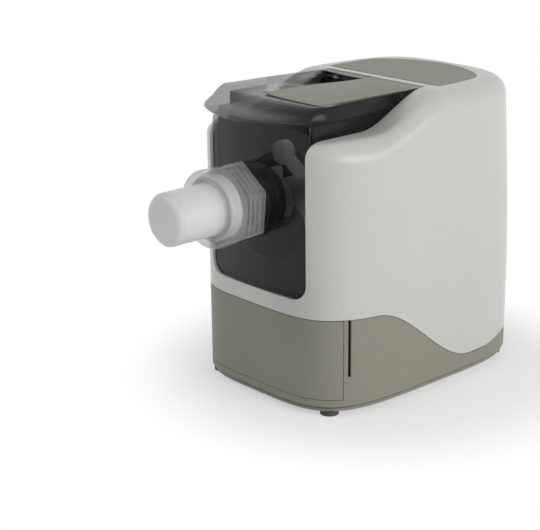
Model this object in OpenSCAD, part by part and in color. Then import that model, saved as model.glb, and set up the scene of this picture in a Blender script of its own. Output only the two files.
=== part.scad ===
// Electric pasta maker: a white casing on a grey base with a drawer, a smoky mixing bowl
// with a hinged lid and a removable front cover, and a die head held by a clear screw nut.
// +Z is up and the die head points to -Y. The origin is on the surface that the feet stand on,
// under the middle of the whole machine. Inside the modules, y = 0 is the middle of the casing.

/* [Casing] */
// Width of the casing at its foot
body_w = 212; // [208:1:216]
// Depth of the casing at its foot
body_d = 290; // [286:1:294]
// Height of the casing above the table
body_h = 295; // [294.5:0.5:297]
// Squareness of the casing's plan: 2 is an ellipse, larger is squarer
corner_n = 4.2; // [3.8:0.1:4.6]
// Inward lean of the casing's sides, mm per mm of height
side_lean = 0.004; // [0.002:0.001:0.006]
// Outward lean of the casing's front, mm per mm of height
front_lean = 0.006; // [0.004:0.001:0.008]
// How strongly the back curves inward with the height
rear_bow = 0.00017; // [0.00014:0.00001:0.0002]
// Thickness of the casing's walls
wall = 3; // [2.6:0.1:3.4]
// Radius of the rounding between the walls and the top
shoulder_r = 22; // [20:1:24]

/* [Seam and drawer] */
// Height of the seam between grey and white along the front half of the sides
seam_front = 98; // [96:1:99]
// Height of that seam along the rear half of the sides
seam_rear = 24; // [22:1:28]
// How far the seam dips at the middle of the front
seam_dip = 7; // [4:1:8]
// Gap between neighbouring covers
seam_gap = 0.5; // [0.4:0.1:0.8]
// Where the drawer front ends on the sides, measured along the depth
drawer_edge_y = -117; // [-118:0.5:-116]

/* [Window, bowl and lid] */
// Half of the width of the window and the lid
lid_half_w = 66; // [65.5:0.5:66.5]
// Height of the lid's top face
lid_top = 294.4; // [294:0.1:295]
// Lower edge of the window
window_sill = 114; // [113:0.5:116]
// Inner radius of the round bottom of the bowl
bowl_r = 61; // [60.5:0.5:61.5]
// Height of the mixing shaft
shaft_z = 202; // [201.5:0.5:202.5]

/* [Head] */
// Radius of the die head
die_r = 25; // [24.8:0.1:25.2]
// How far the die head reaches in front of the casing's middle
nose_reach = 254; // [252:0.5:256]
// Outer radius of the clamp nut over its corners
nut_r = 38.5; // [38:0.5:39]
// Advance of the nut in one turn
thread_pitch = 5; // [5:0.5:6]
// Radial room between the nut's thread and the barrel's
thread_clearance = 0.35; // [0.3:0.05:0.4]

/* [Gear train] */
// Teeth of the motor pinion and of both small gears
pinion_teeth = 12; // [12:1:12]
// Teeth of the idler's large gear
idler_teeth = 42; // [42:1:42]
// Teeth of the output gear
output_teeth = 48; // [48:1:48]
// Module of the fast gear pair
fast_module = 1.5; // [1.5:0.1:1.5]
// Module of the slow gear pair
slow_module = 2; // [2:0.1:2]

/* [Hidden] */
$fn = 64;

// ---- Driving places worked out from the dimensions above ----
grey = [0.56, 0.55, 0.50];
white = [0.82, 0.83, 0.80];
smoke = [0.25, 0.25, 0.25, 0.7];
clear = [0.85, 0.88, 0.88, 0.45];
milk = [0.9, 0.9, 0.88];
steel = [0.72, 0.73, 0.75];
dark = [0.18, 0.18, 0.19];

foot_h = 5;
base_bottom = foot_h + 5;
drawer_sill = 17;
// Heights of the extra contours that the casing's walls follow above the seam
level_rows = [130, 180, 230];
// Above these heights the back bows in and its corners grow rounder
bow_start_z = 95;
ease_start_z = 100;
rear_ease = 0.0039;
back_reach = rear_d(level_rows[0]);
centre_y = (nose_reach - back_reach) / 2;
plan_steps = 120;

lid_rear_y = 17;
rib_front_y = lid_rear_y + 1.2;
hinge_r = 5;
hinge_y = lid_rear_y - 5.8;
hinge_z = lid_top - hinge_r - 1.3;
shell_end_y = hinge_y - 3.2;
bracket_x = 46;
lid_skirt_z = 279.3;
bowl_rim_z = 278.6;
bowl_front_y = -130.5;
bowl_back_y = 14;
bulkhead_y = 17.6;
bulkhead_t = 3.4;

panel_front_y = 27.6;
end_r = 14;
window_arc_r = 294;
window_mid_y = 146;
barrel_end = 180;
barrel_r = 31;
barrel_bore_r = 25.5;
thread_mean_r = 29.8;
thread_ecc = 0.8;
boss_end = 158;
nut_start = 160.5;
nut_end = 205;
collar_r = 30.3;
collar_start = 184;
collar_end = 197.6;

idler_z = shaft_z - slow_module * (pinion_teeth + output_teeth) / 2;
motor_z = idler_z - fast_module * (pinion_teeth + idler_teeth) / 2;
shaft_r = 6;
idler_r = 4;
rotor_r = 3;
run_gap = 0.05;
case_y = 21.2;
case_end = 60;
cover_t = 4;
can_r = 29;
can_end = 122;

// ---- Helpers ----
module placed() translate([0, centre_y, 0]) children();

// Turns a form drawn up +Z so that its height runs forward from the casing's middle
module forward(reach, z = shaft_z) translate([0, -reach, z]) rotate([90, 0, 0]) children();

// The same towards the back
module backward(y, z = shaft_z) translate([0, y, z]) rotate([-90, 0, 0]) children();

module tube(outer, inner, length) {
    difference() {
        cylinder(r = outer, h = length);
        translate([0, 0, -1]) cylinder(r = inner, h = length + 2);
    }
}

module rounded_rect(w, h, r) {
    square([w - 2 * r, h], center = true);
    square([w, h - 2 * r], center = true);
    for (sx = [-1, 1], sy = [-1, 1]) {
        translate([sx * (w / 2 - r), sy * (h / 2 - r)]) circle(r = r, $fn = 32);
    }
}

function clamp01(v) = max(0, min(1, v));
function smooth(v) = let (s = clamp01(v)) s * s * (3 - 2 * s);
function mix(a, b, s) = a + (b - a) * s;
function half_w(z) = body_w / 2 - side_lean * (z - foot_h);
function half_d(z) = body_d / 2 + front_lean * (z - foot_h);
function rear_d(z) = half_d(z) - rear_bow * pow(max(0, z - bow_start_z), 2);
function rear_n(z) = corner_n - rear_ease * max(0, z - ease_start_z);

// Distance of the plan's edge in the direction a, for half sizes hw and hd and squareness n
function plan_r(a, hw, hd, n) =
    pow(pow(abs(cos(a)) / hw, n) + pow(abs(sin(a)) / hd, n), -1 / n);
// Point of the plan's edge at height z, drawn in by ix sideways and iy lengthways
function plan_pt(a, z, ix = 0, iy = 0) =
    let (
        rear = sin(a) > 0,
        r = plan_r(a, half_w(z) - ix, (rear ? rear_d(z) : half_d(z)) - iy, rear ? rear_n(z) : corner_n)
    )
    [r * cos(a), r * sin(a), z];
// Half width of the plan's rear half at the depth y
function wall_x(y, z) = half_w(z) * pow(1 - pow(y / rear_d(z), rear_n(z)), 1 / rear_n(z));
function plan_angles() = [for (i = [0 : plan_steps - 1]) i * 360 / plan_steps];
function flat_plan(z, inset) =
    [for (a = plan_angles()) let (p = plan_pt(a, z, inset, inset)) [p[0], p[1]]];

// Height of the wavy seam between the grey base and the white casing
function seam_z(p) =
    let (
        side = mix(seam_front, seam_rear, smooth((p[1] + 84) / 130)),
        rear_rise = 6 * smooth((p[1] - 74) / 40),
        front_rise = 5 * smooth((-80 - p[1]) / 50),
        middle = 1 - pow(min(1, abs(p[0]) / 95), 2)
    )
    side + rear_rise + front_rise - (p[1] < 0 ? seam_dip * middle : 0);

// Height of the casing's top, which sweeps up beside the lid
function top_z(y) = mix(body_h - 30.5, body_h, smooth((y + 70) / 86));
// How much the direction a belongs to the middle direction, the front at -90 or the rear at 90
function share(a, middle) =
    let (off = abs(((a - middle) % 360 + 540) % 360 - 180)) 1 - smooth((off - 26) / 24);

// A closed ring of material from loops of points, each loop the same length
module ring_solid(loops) {
    n = len(loops[0]);
    rows = len(loops);
    points = [for (loop = loops) each loop];
    faces = [
        for (j = [0 : rows - 1], i = [0 : n - 1])
            let (
                a = j * n + i,
                b = j * n + (i + 1) % n,
                c = ((j + 1) % rows) * n + (i + 1) % n,
                d = ((j + 1) % rows) * n + i
            )
            each [[a, c, b], [a, d, c]]
    ];
    polyhedron(points = points, faces = faces, convexity = 8);
}

function wall_loop(inset, offset) =
    [for (a = plan_angles())
        let (p = plan_pt(a, seam_z(plan_pt(a, seam_front)) + offset, inset, inset)) p];
function level_loop(z, inset) = [for (a = plan_angles()) plan_pt(a, z, inset, inset)];

// One loop of the rounded shoulder: t is 0 on the wall and 90 at the top
function shoulder_loop(t, skin) =
    [for (a = plan_angles())
        let (
            f = share(a, -90) + share(a, 90),
            side_r = mix(shoulder_r, shoulder_r - 3, f),
            long_r = mix(shoulder_r, end_r, f),
            drop = mix(shoulder_r, end_r, f),
            y = plan_pt(a, body_h, side_r, long_r)[1],
            z = top_z(y) - drop + (drop - skin) * sin(t),
            ix = skin + (side_r - skin) * (1 - cos(t)),
            iy = skin + (long_r - skin) * (1 - cos(t))
        )
        plan_pt(a, z, ix, iy)];
// The edge of the top opening, 42 in from the sides
function rim_loop(skin) =
    [for (a = plan_angles())
        let (
            inset_y = mix(38, 16, share(a, -90)),
            y = plan_pt(a, body_h, 42, inset_y)[1]
        )
        plan_pt(a, top_z(y) - skin, 42, inset_y)];

// ---- Base ----
foot_places = [[-78, -120.5], [78, -120.5], [-78, 118], [78, 118]];
post_places = [[-88, 52], [88, 52], [-86, 100], [86, 100]];

module rubber_feet() color(grey) placed() for (p = foot_places) translate([p[0], p[1], 0]) {
    cylinder(r = 9, h = foot_h);
    cylinder(r = 3, h = foot_h + 3);
}

module base_floor() color(grey) placed() difference() {
    union() {
        translate([0, 0, foot_h]) linear_extrude(3) polygon(flat_plan(foot_h, 2.5));
        translate([0, 0, foot_h]) linear_extrude(9) difference() {
            polygon(flat_plan(base_bottom, wall + 0.3));
            polygon(flat_plan(base_bottom, wall + 3));
        }
        for (p = post_places) translate([p[0], p[1], foot_h]) cylinder(r = 6, h = 9);
    }
    for (p = foot_places) translate([p[0], p[1], 0]) cylinder(r = 3, h = 30);
    for (p = post_places) translate([p[0], p[1], 0]) {
        cylinder(r = 2.2, h = 30);
        cylinder(r = 4.4, h = foot_h + 3.4);
    }
    for (i = [-4 : 4], side = [-1, 1]) {
        translate([side * 52 - 14, 75 + i * 7, 0]) cube([28, 3, 20]);
    }
}

module base_screws() color(steel) placed() for (p = post_places) {
    translate([p[0], p[1], foot_h + 0.8]) {
        cylinder(r = 4, h = 2.6);
        cylinder(r = 2, h = 30);
    }
}

module base_ring() {
    ring_solid([
        level_loop(base_bottom, 0), wall_loop(0, -seam_gap / 2),
        wall_loop(wall, -seam_gap / 2), level_loop(base_bottom, wall)
    ]);
}

module drawer_gap(grow) {
    translate([-body_w, -body_d, drawer_sill - grow]) {
        cube([2 * body_w, body_d + drawer_edge_y + grow, body_h]);
    }
}

grip_y = drawer_edge_y + 4;
module base_shell() color(grey) placed() difference() {
    base_ring();
    drawer_gap(seam_gap / 2);
    for (side = [-1, 1]) {
        translate([side * 96 - 8, grip_y, 38]) cube([16, 3.6, 90]);
    }
}

// ---- Casing ----
post_top = 150;
vent_count = 7;
module casing_cuts() {
    // the window and the space for the lid
    translate([0, -60, 0]) rotate([90, 0, 0]) linear_extrude(150) {
        translate([0, window_sill + 150]) rounded_rect(2 * lid_half_w + 1, 300, 15);
    }
    translate([-lid_half_w - 1, -100, window_sill + 40]) {
        cube([2 * lid_half_w + 2, 100.4 + rib_front_y, 200]);
    }
    translate([0, 0, body_h - 9]) linear_extrude(20) panel_plan(0.5);
    translate([-14.4, 120, 51.4]) cube([28.8, 60, 21.2]);
    for (i = [0 : vent_count - 1]) {
        translate([-36, 130, 118 + i * 8]) cube([72, 40, 3.2]);
    }
}

module upper_shell() color(white) placed() {
    difference() {
        ring_solid([
            wall_loop(0, seam_gap / 2),
            for (z = level_rows) level_loop(z, 0),
            for (t = [0 : 15 : 90]) shoulder_loop(t, 0),
            rim_loop(0),
            rim_loop(wall),
            for (t = [90 : -22.5 : 0]) shoulder_loop(t, wall),
            for (i = [2 : -1 : 0]) level_loop(level_rows[i], wall),
            wall_loop(wall, seam_gap / 2)
        ]);
        casing_cuts();
    }
    // rib behind the lid, hollowed where the lid's rear edge swings
    difference() {
        translate([-70, rib_front_y, body_h - 12.4]) {
            cube([140, panel_front_y - 0.5 - rib_front_y, 12.2]);
        }
        translate([-80, hinge_y, hinge_z]) rotate([0, 90, 0]) cylinder(r = 9.3, h = 160, $fn = 96);
    }
    for (p = post_places) {
        translate([p[0], p[1], foot_h + 9]) difference() {
            cylinder(r = 5.5, h = post_top);
            translate([0, 0, -1]) cylinder(r = 2, h = 24);
        }
        web_end = wall_x(p[1], 100) - wall / 2;
        translate([p[0] > 0 ? p[0] + 4 : -web_end, p[1] - 1.2, 100]) {
            cube([web_end - abs(p[0]) - 4, 2.4, 50]);
        }
    }
}

// Plan of the control panel, straight in front and round behind
panel_half_w = 75.3;
panel_end_y = 120;
panel_rear_r = 96;
panel_side_r = 200;
module panel_plan(grow) {
    intersection() {
        translate([-panel_half_w - grow, panel_front_y - grow]) {
            square([2 * (panel_half_w + grow), 120]);
        }
        translate([0, panel_end_y - panel_rear_r]) circle(r = panel_rear_r + grow, $fn = 180);
        translate([panel_half_w - panel_side_r, 45]) circle(r = panel_side_r + grow, $fn = 180);
        translate([panel_side_r - panel_half_w, 45]) circle(r = panel_side_r + grow, $fn = 180);
    }
}

board_top = body_h - 11;
module control_panel() color(grey) placed() {
    translate([0, 0, body_h - 3]) linear_extrude(3.4) panel_plan(0);
    for (side = [-1, 1]) translate([side * 55, 45, board_top]) cylinder(r = 3, h = 8.5);
    translate([0, 92, board_top]) cylinder(r = 3, h = 8.5);
}

module control_board() color([0.1, 0.35, 0.2]) placed() {
    translate([-62, 38, board_top - 1.6]) cube([124, 60, 1.6]);
    translate([-30, 50, board_top]) cube([60, 26, 5]);
}

module power_inlet() color(dark) placed() difference() {
    union() {
        translate([-14, 121, 51.8]) cube([28, half_d(62) - 121, 20.4]);
        translate([-17, half_d(62) - 5.4, 48.8]) cube([34, 2, 26.4]);
    }
    translate([-11.5, 129, 54.6]) cube([23, 40, 14.8]);
    pin_bars();
}

module pin_bars() for (p = [[-7, 64], [7, 64], [0, 59]]) {
    translate([p[0] - 1, 118, p[1] - 2]) cube([2, 23, 4]);
}

module inlet_pins() color(steel) placed() pin_bars();

module power_board() color([0.1, 0.35, 0.2]) placed() {
    translate([-78, 36, 24]) cube([56, 84, 1.6]);
    for (x = [-73, -27], y = [41, 115]) translate([x, y, foot_h + 3]) cylinder(r = 2.5, h = 16);
}

module board_parts() color([0.85, 0.7, 0.25]) placed() {
    translate([-74, 50, 25.6]) cube([28, 24, 22]);
    translate([-66, 96, 25.6]) cylinder(r = 9, h = 24);
    translate([-40, 92, 25.6]) cube([12, 20, 16]);
    translate([-42, 52, 25.6]) cube([4, 30, 20]);
}

// Mains and motor leads, straight runs with round bends
module lead(points, r) {
    for (i = [0 : len(points) - 2]) {
        d = points[i + 1] - points[i];
        translate(points[i]) rotate([0, acos(d[2] / norm(d)), atan2(d[1], d[0])]) {
            cylinder(r = r, h = norm(d));
        }
    }
    for (i = [1 : len(points) - 2]) translate(points[i]) sphere(r = r + 0.4);
}

module wiring() color([0.6, 0.15, 0.1]) placed() {
    lead([[-7, 118, 64], [-7, 108, 64], [-33, 104, 55], [-33, 104, 41.6]], 1.5);
    lead([[-40, 67, 45.6], [-40, 67, 60], [-40, 94, 80], [-40, 94, 101.5], [-23, 94, 101.5]], 1.5);
}

// ---- Inner frame ----
deck_z = 104.5;
module chassis() color([0.42, 0.43, 0.44]) placed() {
    difference() {
        union() {
            translate([-98, bulkhead_y, foot_h + 3.2]) cube([196, bulkhead_t, 246]);
            translate([-60, bulkhead_y, 200]) cube([120, bulkhead_t, 82]);
        }
        backward(bulkhead_y - 5) cylinder(r = 14, h = 20);
        translate([-50, bulkhead_y - 5, foot_h]) cube([20, 20, 14]);
    }
    difference() {
        translate([0, 0, deck_z]) linear_extrude(3) {
            polygon([
                [-98, bulkhead_y + 0.5], [-98, -88], [-80, -122], [80, -122], [98, -88],
                [98, bulkhead_y + 0.5]
            ]);
        }
        translate([-17, -84, 90]) cube([34, 50, 40]);
    }
    // cradles that carry the bowl
    for (y = [-112, -20]) difference() {
        translate([-60, y, deck_z + 2.5]) cube([120, 6, 60]);
        forward(-y + 5) mirror([0, 0, 1]) cylinder(r = bowl_r + 2.6, h = 30);
    }
    // feet of the hinge brackets
    for (side = [-1, 1]) translate([side * bracket_x - 3, hinge_y - 2.4, bowl_rim_z + 0.8]) {
        cube([6, bulkhead_y - hinge_y + 2.9, 2.6]);
    }
}

module drawer_rails() color(steel) placed() for (side = [-1, 1]) {
    translate([side > 0 ? 70 : -86, -108, foot_h + 3]) cube([16, 123, 17]);
    translate([side > 0 ? 84.6 : -87.6, -108, foot_h + 3]) cube([3, 123, 34]);
}

// ---- Bowl ----
module u_plan(r) {
    circle(r = r, $fn = 96);
    translate([-r, 0]) square([2 * r, bowl_rim_z - shaft_z]);
}

bowl_wall = 2.5;
module mixing_bowl() color(smoke) placed() difference() {
    union() {
        forward(-bowl_back_y) linear_extrude(bowl_back_y - bowl_front_y) {
            u_plan(bowl_r + bowl_wall);
        }
        // front flange that the window cover closes on
        forward(-bowl_front_y - 3) linear_extrude(3) {
            translate([0, (window_sill + bowl_rim_z) / 2 - shaft_z]) {
                rounded_rect(2 * lid_half_w - 3, bowl_rim_z - window_sill - 3, 13);
            }
        }
        // thick rim that shows above the casing
        translate([-lid_half_w + 0.4, bowl_front_y, 262]) {
            cube([2 * lid_half_w - 0.8, bowl_back_y - bowl_front_y, bowl_rim_z - 262]);
        }
    }
    forward(-bowl_back_y + bowl_wall) linear_extrude(200) u_plan(bowl_r);
    translate([-bowl_r, bowl_front_y - 10, shaft_z]) {
        cube([2 * bowl_r, bowl_back_y - bowl_wall - bowl_front_y + 10, 150]);
    }
    backward(bowl_back_y - 10) cylinder(r = 9, h = 20);
}

module bowl_gasket() color(dark) placed() {
    forward(-bowl_front_y) linear_extrude(0.8) difference() {
        translate([0, -0.5]) u_plan(bowl_r + 2.4);
        u_plan(bowl_r);
        translate([-bowl_r, 0]) square([2 * bowl_r, 100]);
    }
}

module shaft_seal() color(dark) placed() backward(bowl_back_y - bowl_wall - 2) {
    tube(9, shaft_r + 0.08, 5.4);
}

module lid_sensor() color(dark) placed() translate([40, bulkhead_y + bulkhead_t, 268]) {
    cube([12, 8, 14]);
}

// ---- Gearbox ----
module case_plan(grow) {
    circle(r = 54 + grow, $fn = 96);
    translate([0, idler_z - shaft_z]) circle(r = 37 + grow, $fn = 96);
    translate([0, motor_z - shaft_z]) circle(r = 32 + grow, $fn = 96);
    polygon([
        [54 + grow, 0], [37 + grow, idler_z - shaft_z], [32 + grow, motor_z - shaft_z],
        [-32 - grow, motor_z - shaft_z], [-37 - grow, idler_z - shaft_z], [-54 - grow, 0]
    ]);
}

lug_places = [[50, 242], [-50, 242], [58, 168], [-58, 168], [40, 112], [-40, 112]];
module gearbox_case() color([0.55, 0.56, 0.58]) placed() difference() {
    union() {
        backward(case_y) linear_extrude(case_end - case_y) mirror([0, 1]) case_plan(0);
        for (p = lug_places) translate([p[0], case_y, p[1]]) rotate([-90, 0, 0]) {
            cylinder(r = 6, h = case_end - case_y);
        }
    }
    backward(case_y + 3) linear_extrude(100) mirror([0, 1]) case_plan(-3);
    backward(case_y - 10) cylinder(r = 14, h = 30);
    backward(case_y - 10, idler_z) cylinder(r = idler_r, h = 30);
    for (p = lug_places) translate([p[0], case_y + 8, p[1]]) rotate([-90, 0, 0]) {
        cylinder(r = 2, h = 60);
    }
}

module gearbox_cover() color([0.55, 0.56, 0.58]) placed() difference() {
    union() {
        backward(case_end) linear_extrude(cover_t) mirror([0, 1]) case_plan(0);
        for (p = lug_places) translate([p[0], case_end, p[1]]) rotate([-90, 0, 0]) {
            cylinder(r = 6, h = cover_t);
        }
        backward(case_end) cylinder(r = 17, h = 9);
    }
    backward(case_end - 5) cylinder(r = 13, h = 11);
    backward(case_end + 5) cylinder(r = shaft_r + 1, h = 20);
    backward(case_end - 5, idler_z) cylinder(r = idler_r, h = 20);
    backward(case_end - 5, motor_z) cylinder(r = 10, h = 20);
    for (p = lug_places) translate([p[0], case_end - 5, p[1]]) rotate([-90, 0, 0]) {
        cylinder(r = 2.1, h = 20);
    }
    for (side = [-1, 1]) translate([side * 20, case_end - 5, motor_z]) rotate([-90, 0, 0]) {
        cylinder(r = 2.1, h = 20);
    }
}

module gearbox_screws() color(steel) placed() for (p = lug_places) {
    translate([p[0], case_end - 14, p[1]]) rotate([-90, 0, 0]) {
        cylinder(r = 1.95, h = 14 + cover_t);
        translate([0, 0, 14 + cover_t]) cylinder(r = 4, h = 2.6);
    }
}

module front_bearing() color(steel) placed() backward(bulkhead_y) {
    tube(14, shaft_r + run_gap, 10);
}

module rear_bearing() color(steel) placed() backward(case_end - 5) tube(13, shaft_r + run_gap, 11);

module idler_axle() color(steel) placed() backward(case_y, idler_z) {
    cylinder(r = idler_r, h = case_end + cover_t - case_y);
}

// Half of a tooth's angle at radius r, for an involute gear with a little backlash
function inv(a) = tan(a) * 180 / PI - a;
function tooth_half(r, pitch_r, teeth) =
    let (base = pitch_r * cos(20), c = min(1, base / r))
    90 / teeth * 0.92 + inv(20) - inv(acos(c));
module gear_plan(teeth, m) {
    pitch_r = m * teeth / 2;
    radii = [pitch_r - 1.15 * m, pitch_r * 0.965, pitch_r, pitch_r + 0.4 * m, pitch_r + 0.8 * m];
    polygon([
        for (i = [0 : teeth - 1])
            let (mid = i * 360 / teeth)
            each concat(
                [for (r = radii) let (a = mid - tooth_half(r, pitch_r, teeth)) r * [cos(a), sin(a)]],
                [for (k = [4 : -1 : 0])
                    let (a = mid + tooth_half(radii[k], pitch_r, teeth)) radii[k] * [cos(a), sin(a)]]
            )
    ]);
}

module output_gear() color([0.8, 0.75, 0.55]) placed() backward(29) difference() {
    union() {
        linear_extrude(10) rotate(90) gear_plan(output_teeth, slow_module);
        cylinder(r = 16, h = 20);
    }
    translate([0, 0, -1]) cylinder(r = shaft_r, h = 40);
    for (a = [0 : 60 : 300]) rotate(a) translate([29, 0, -1]) cylinder(r = 8, h = 20);
}

module idler_gear() color([0.8, 0.75, 0.55]) placed() difference() {
    union() {
        backward(28.4, idler_z) linear_extrude(13.8) {
            rotate(-90 + 180 / pinion_teeth) gear_plan(pinion_teeth, slow_module);
        }
        backward(42, idler_z) linear_extrude(10) rotate(90) gear_plan(idler_teeth, fast_module);
        backward(51, idler_z) cylinder(r = 8, h = 6);
    }
    backward(20, idler_z) cylinder(r = idler_r + run_gap, h = 60);
}

module motor_pinion() color(steel) placed() difference() {
    backward(40.5, motor_z) linear_extrude(13) {
        rotate(-90 + 180 / pinion_teeth) gear_plan(pinion_teeth, fast_module);
    }
    backward(30, motor_z) cylinder(r = rotor_r, h = 40);
}

module rotor_shaft() color(steel) placed() backward(38, motor_z) {
    cylinder(r = rotor_r, h = 98);
    translate([0, 0, 36]) cylinder(r = 20, h = 36);
}

module cooling_fan() color(dark) placed() backward(can_end + 7, motor_z) difference() {
    union() {
        cylinder(r = 8, h = 6);
        for (a = [0 : 40 : 320]) rotate(a) translate([6, -1, 0]) rotate([20, 0, 0]) cube([19, 2, 6]);
    }
    translate([0, 0, -5]) cylinder(r = rotor_r, h = 30);
}

module motor_can() color(steel) placed() backward(case_end + cover_t, motor_z) difference() {
    tube(can_r, can_r - 2.5, can_end - case_end - cover_t);
    for (side = [-1, 1]) translate([side * can_r, 0, 30]) cube([8, 14, 24], center = true);
}

module motor_end_cap() color(dark) placed() backward(can_end, motor_z) difference() {
    cylinder(r = can_r, h = 5);
    translate([0, 0, -1]) cylinder(r = rotor_r + run_gap, h = 10);
    for (a = [0 : 45 : 315]) rotate(a) translate([17, 0, -1]) cylinder(r = 4, h = 10);
}

module motor_screws() color(steel) placed() for (side = [-1, 1]) {
    translate([side * 20, case_end - 2.6, motor_z]) rotate([-90, 0, 0]) {
        cylinder(r = 4, h = 2.6);
        cylinder(r = 2, h = 12);
    }
}

// ---- Shaft, paddle and screw ----
module drive_shaft() color(steel) placed() {
    backward(-116) cylinder(r = shaft_r, h = case_end + 6 + 116);
}

// One kneading arm: a stem and a rounded pad
module arm(y, a, reach, t) {
    translate([0, y, shaft_z]) rotate([0, a, 0]) rotate([90, 0, 0]) linear_extrude(t, center = true) {
        translate([0, -5]) square([reach - 12, 10]);
        translate([reach - 12, 0]) circle(r = 12, $fn = 48);
    }
}

module kneading_paddle() color(milk) placed() difference() {
    union() {
        backward(-108) cylinder(r = 12, h = 108 + 5);
        arm(-98, 35, 56, 8);
        arm(-72, 215, 57, 9);
        arm(-44, 125, 57, 9);
        arm(-14, 305, 57, 9);
        arm(2, 35, 56, 5);
    }
    backward(-130) cylinder(r = shaft_r, h = 160);
}

screw_r = 24.6;
module extrusion_screw() color(milk) placed() difference() {
    union() {
        forward(108) cylinder(r = 9.5, h = 66);
        forward(109) linear_extrude(64, twist = -360 * 2, slices = 40, segments = 12) {
            square([4, 2 * screw_r], center = true);
        }
    }
    forward(100) cylinder(r = shaft_r, h = 16);
}

// ---- Front cover, barrel, die and nut ----
module window_plan(grow) {
    translate([0, (window_sill + bowl_rim_z) / 2]) {
        rounded_rect(2 * (lid_half_w + grow), bowl_rim_z - window_sill + 2 * grow, 14.5 + grow);
    }
}

// The window's outline from the plane y forward to a curved face of radius r
module window_block(r, y, grow) intersection() {
    translate([0, -window_mid_y + window_arc_r, 0]) cylinder(r = r, h = 290, $fn = 180);
    translate([0, y, 0]) rotate([90, 0, 0]) linear_extrude(60) window_plan(grow);
}

module front_cover() color(smoke) placed() difference() {
    union() {
        // curved window with a rim that meets the bowl
        difference() {
            window_block(window_arc_r, -131.4, -0.4);
            window_block(window_arc_r - 3.5, -120, -4);
        }
        forward(140.2) cylinder(r = 36, h = boss_end - 140.2);
        forward(132) cylinder(r = 34, h = 10);
    }
    forward(120) cylinder(r = barrel_r, h = 60);
    translate([0, -window_mid_y - 1, bowl_rim_z - 14]) rotate([90, 0, 0]) {
        translate([0, 0, -2.2]) linear_extrude(10) rounded_rect(44, 9, 4);
    }
}

// Screw thread: at each height an off-centre circle whose middle turns as it advances
thread_sides = 30;
function thread_pt(i, reach, mean_r) =
    let (
        a = i * 360 / thread_sides,
        off = a - 360 * reach / thread_pitch,
        r = thread_ecc * cos(off) + sqrt(mean_r * mean_r - pow(thread_ecc * sin(off), 2))
    )
    [r * cos(a), r * sin(a)];
module thread_form(start, length, mean_r) {
    slices = round(length * 2);
    points = [for (j = [0 : slices], i = [0 : thread_sides - 1])
        let (h = j * length / slices, p = thread_pt(i, start + h, mean_r)) [p[0], p[1], h]];
    last = slices * thread_sides;
    faces = concat(
        [for (j = [0 : slices - 1], i = [0 : thread_sides - 1])
            let (
                a = j * thread_sides + i,
                b = j * thread_sides + (i + 1) % thread_sides
            )
            each [[a, b + thread_sides, b], [a, a + thread_sides, b + thread_sides]]],
        [
            [for (i = [0 : thread_sides - 1]) i],
            [for (i = [thread_sides - 1 : -1 : 0]) last + i]
        ]
    );
    forward(start) polyhedron(points = points, faces = faces, convexity = 8);
}

module extrusion_barrel() color(smoke) placed() difference() {
    union() {
        forward(131.5) cylinder(r = barrel_r, h = boss_end + 1 - 131.5);
        thread_form(boss_end + 0.25, barrel_end - boss_end - 0.25, thread_mean_r);
    }
    forward(120) cylinder(r = barrel_bore_r, h = 80);
}

module die_seal() color(dark) placed() forward(barrel_end + 0.2) {
    tube(29, 26, collar_start - barrel_end - 0.2);
}

slot_y = [216, 222.2, 228.4, 234.6, 240.8];
slot_x = [-12, -4, 4, 12];
nose_round = 7;
module die_head() color(milk) placed() {
    difference() {
        union() {
            forward(collar_start) cylinder(r = collar_r, h = collar_end - collar_start);
            forward(collar_end - 1) {
                cylinder(r = die_r, h = nose_reach - nose_round - collar_end + 1);
                rotate_extrude() {
                    translate([0, nose_reach - nose_round - collar_end]) {
                        square([die_r - nose_round, nose_round + 1]);
                        intersection() {
                            translate([die_r - nose_round, 1]) circle(r = nose_round);
                            square([die_r, nose_round + 2]);
                        }
                    }
                }
            }
        }
        forward(collar_start - 1) cylinder(r = 19, h = nose_reach - 6 - collar_start + 1);
        // flat face around the outlets
        translate([-16, -247, shaft_z - die_r - 5]) cube([32, 36, 8]);
        for (y = slot_y, x = slot_x) {
            translate([x - 0.9, -y - 2.5, shaft_z - die_r - 5]) cube([1.8, 5, 20]);
        }
    }
}

// Half section of the nut's round front: a straight skirt, a rounded shoulder and a flat face
function nut_front() =
    let (r = 37.2, length = nut_end - nut_start, round_r = 6)
    concat(
        [[29, 24], [r, 24]],
        [for (t = [0 : 15 : 90]) [r - round_r + round_r * cos(t), length - round_r + round_r * sin(t)]],
        [[29, length]]
    );

ridge_count = 4;
module clamp_nut() color(clear) placed() difference() {
    union() {
        forward(nut_start) rotate(22.5) cylinder(r = nut_r - 1.4, h = 26, $fn = 8);
        for (i = [0 : ridge_count - 1]) {
            forward(nut_start + 0.6 + 6 * i) rotate(22.5) cylinder(r = nut_r, h = 2.6, $fn = 8);
        }
        forward(nut_start) rotate_extrude($fn = 96) polygon(nut_front());
    }
    thread_form(nut_start - 2.1, barrel_end + 4 - nut_start, thread_mean_r + thread_clearance);
    forward(barrel_end + 0.5) cylinder(r = 31.4, h = collar_end - barrel_end - 0.3);
    forward(nut_start + 15) cylinder(r = die_r + 0.6, h = 60);
}

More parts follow.
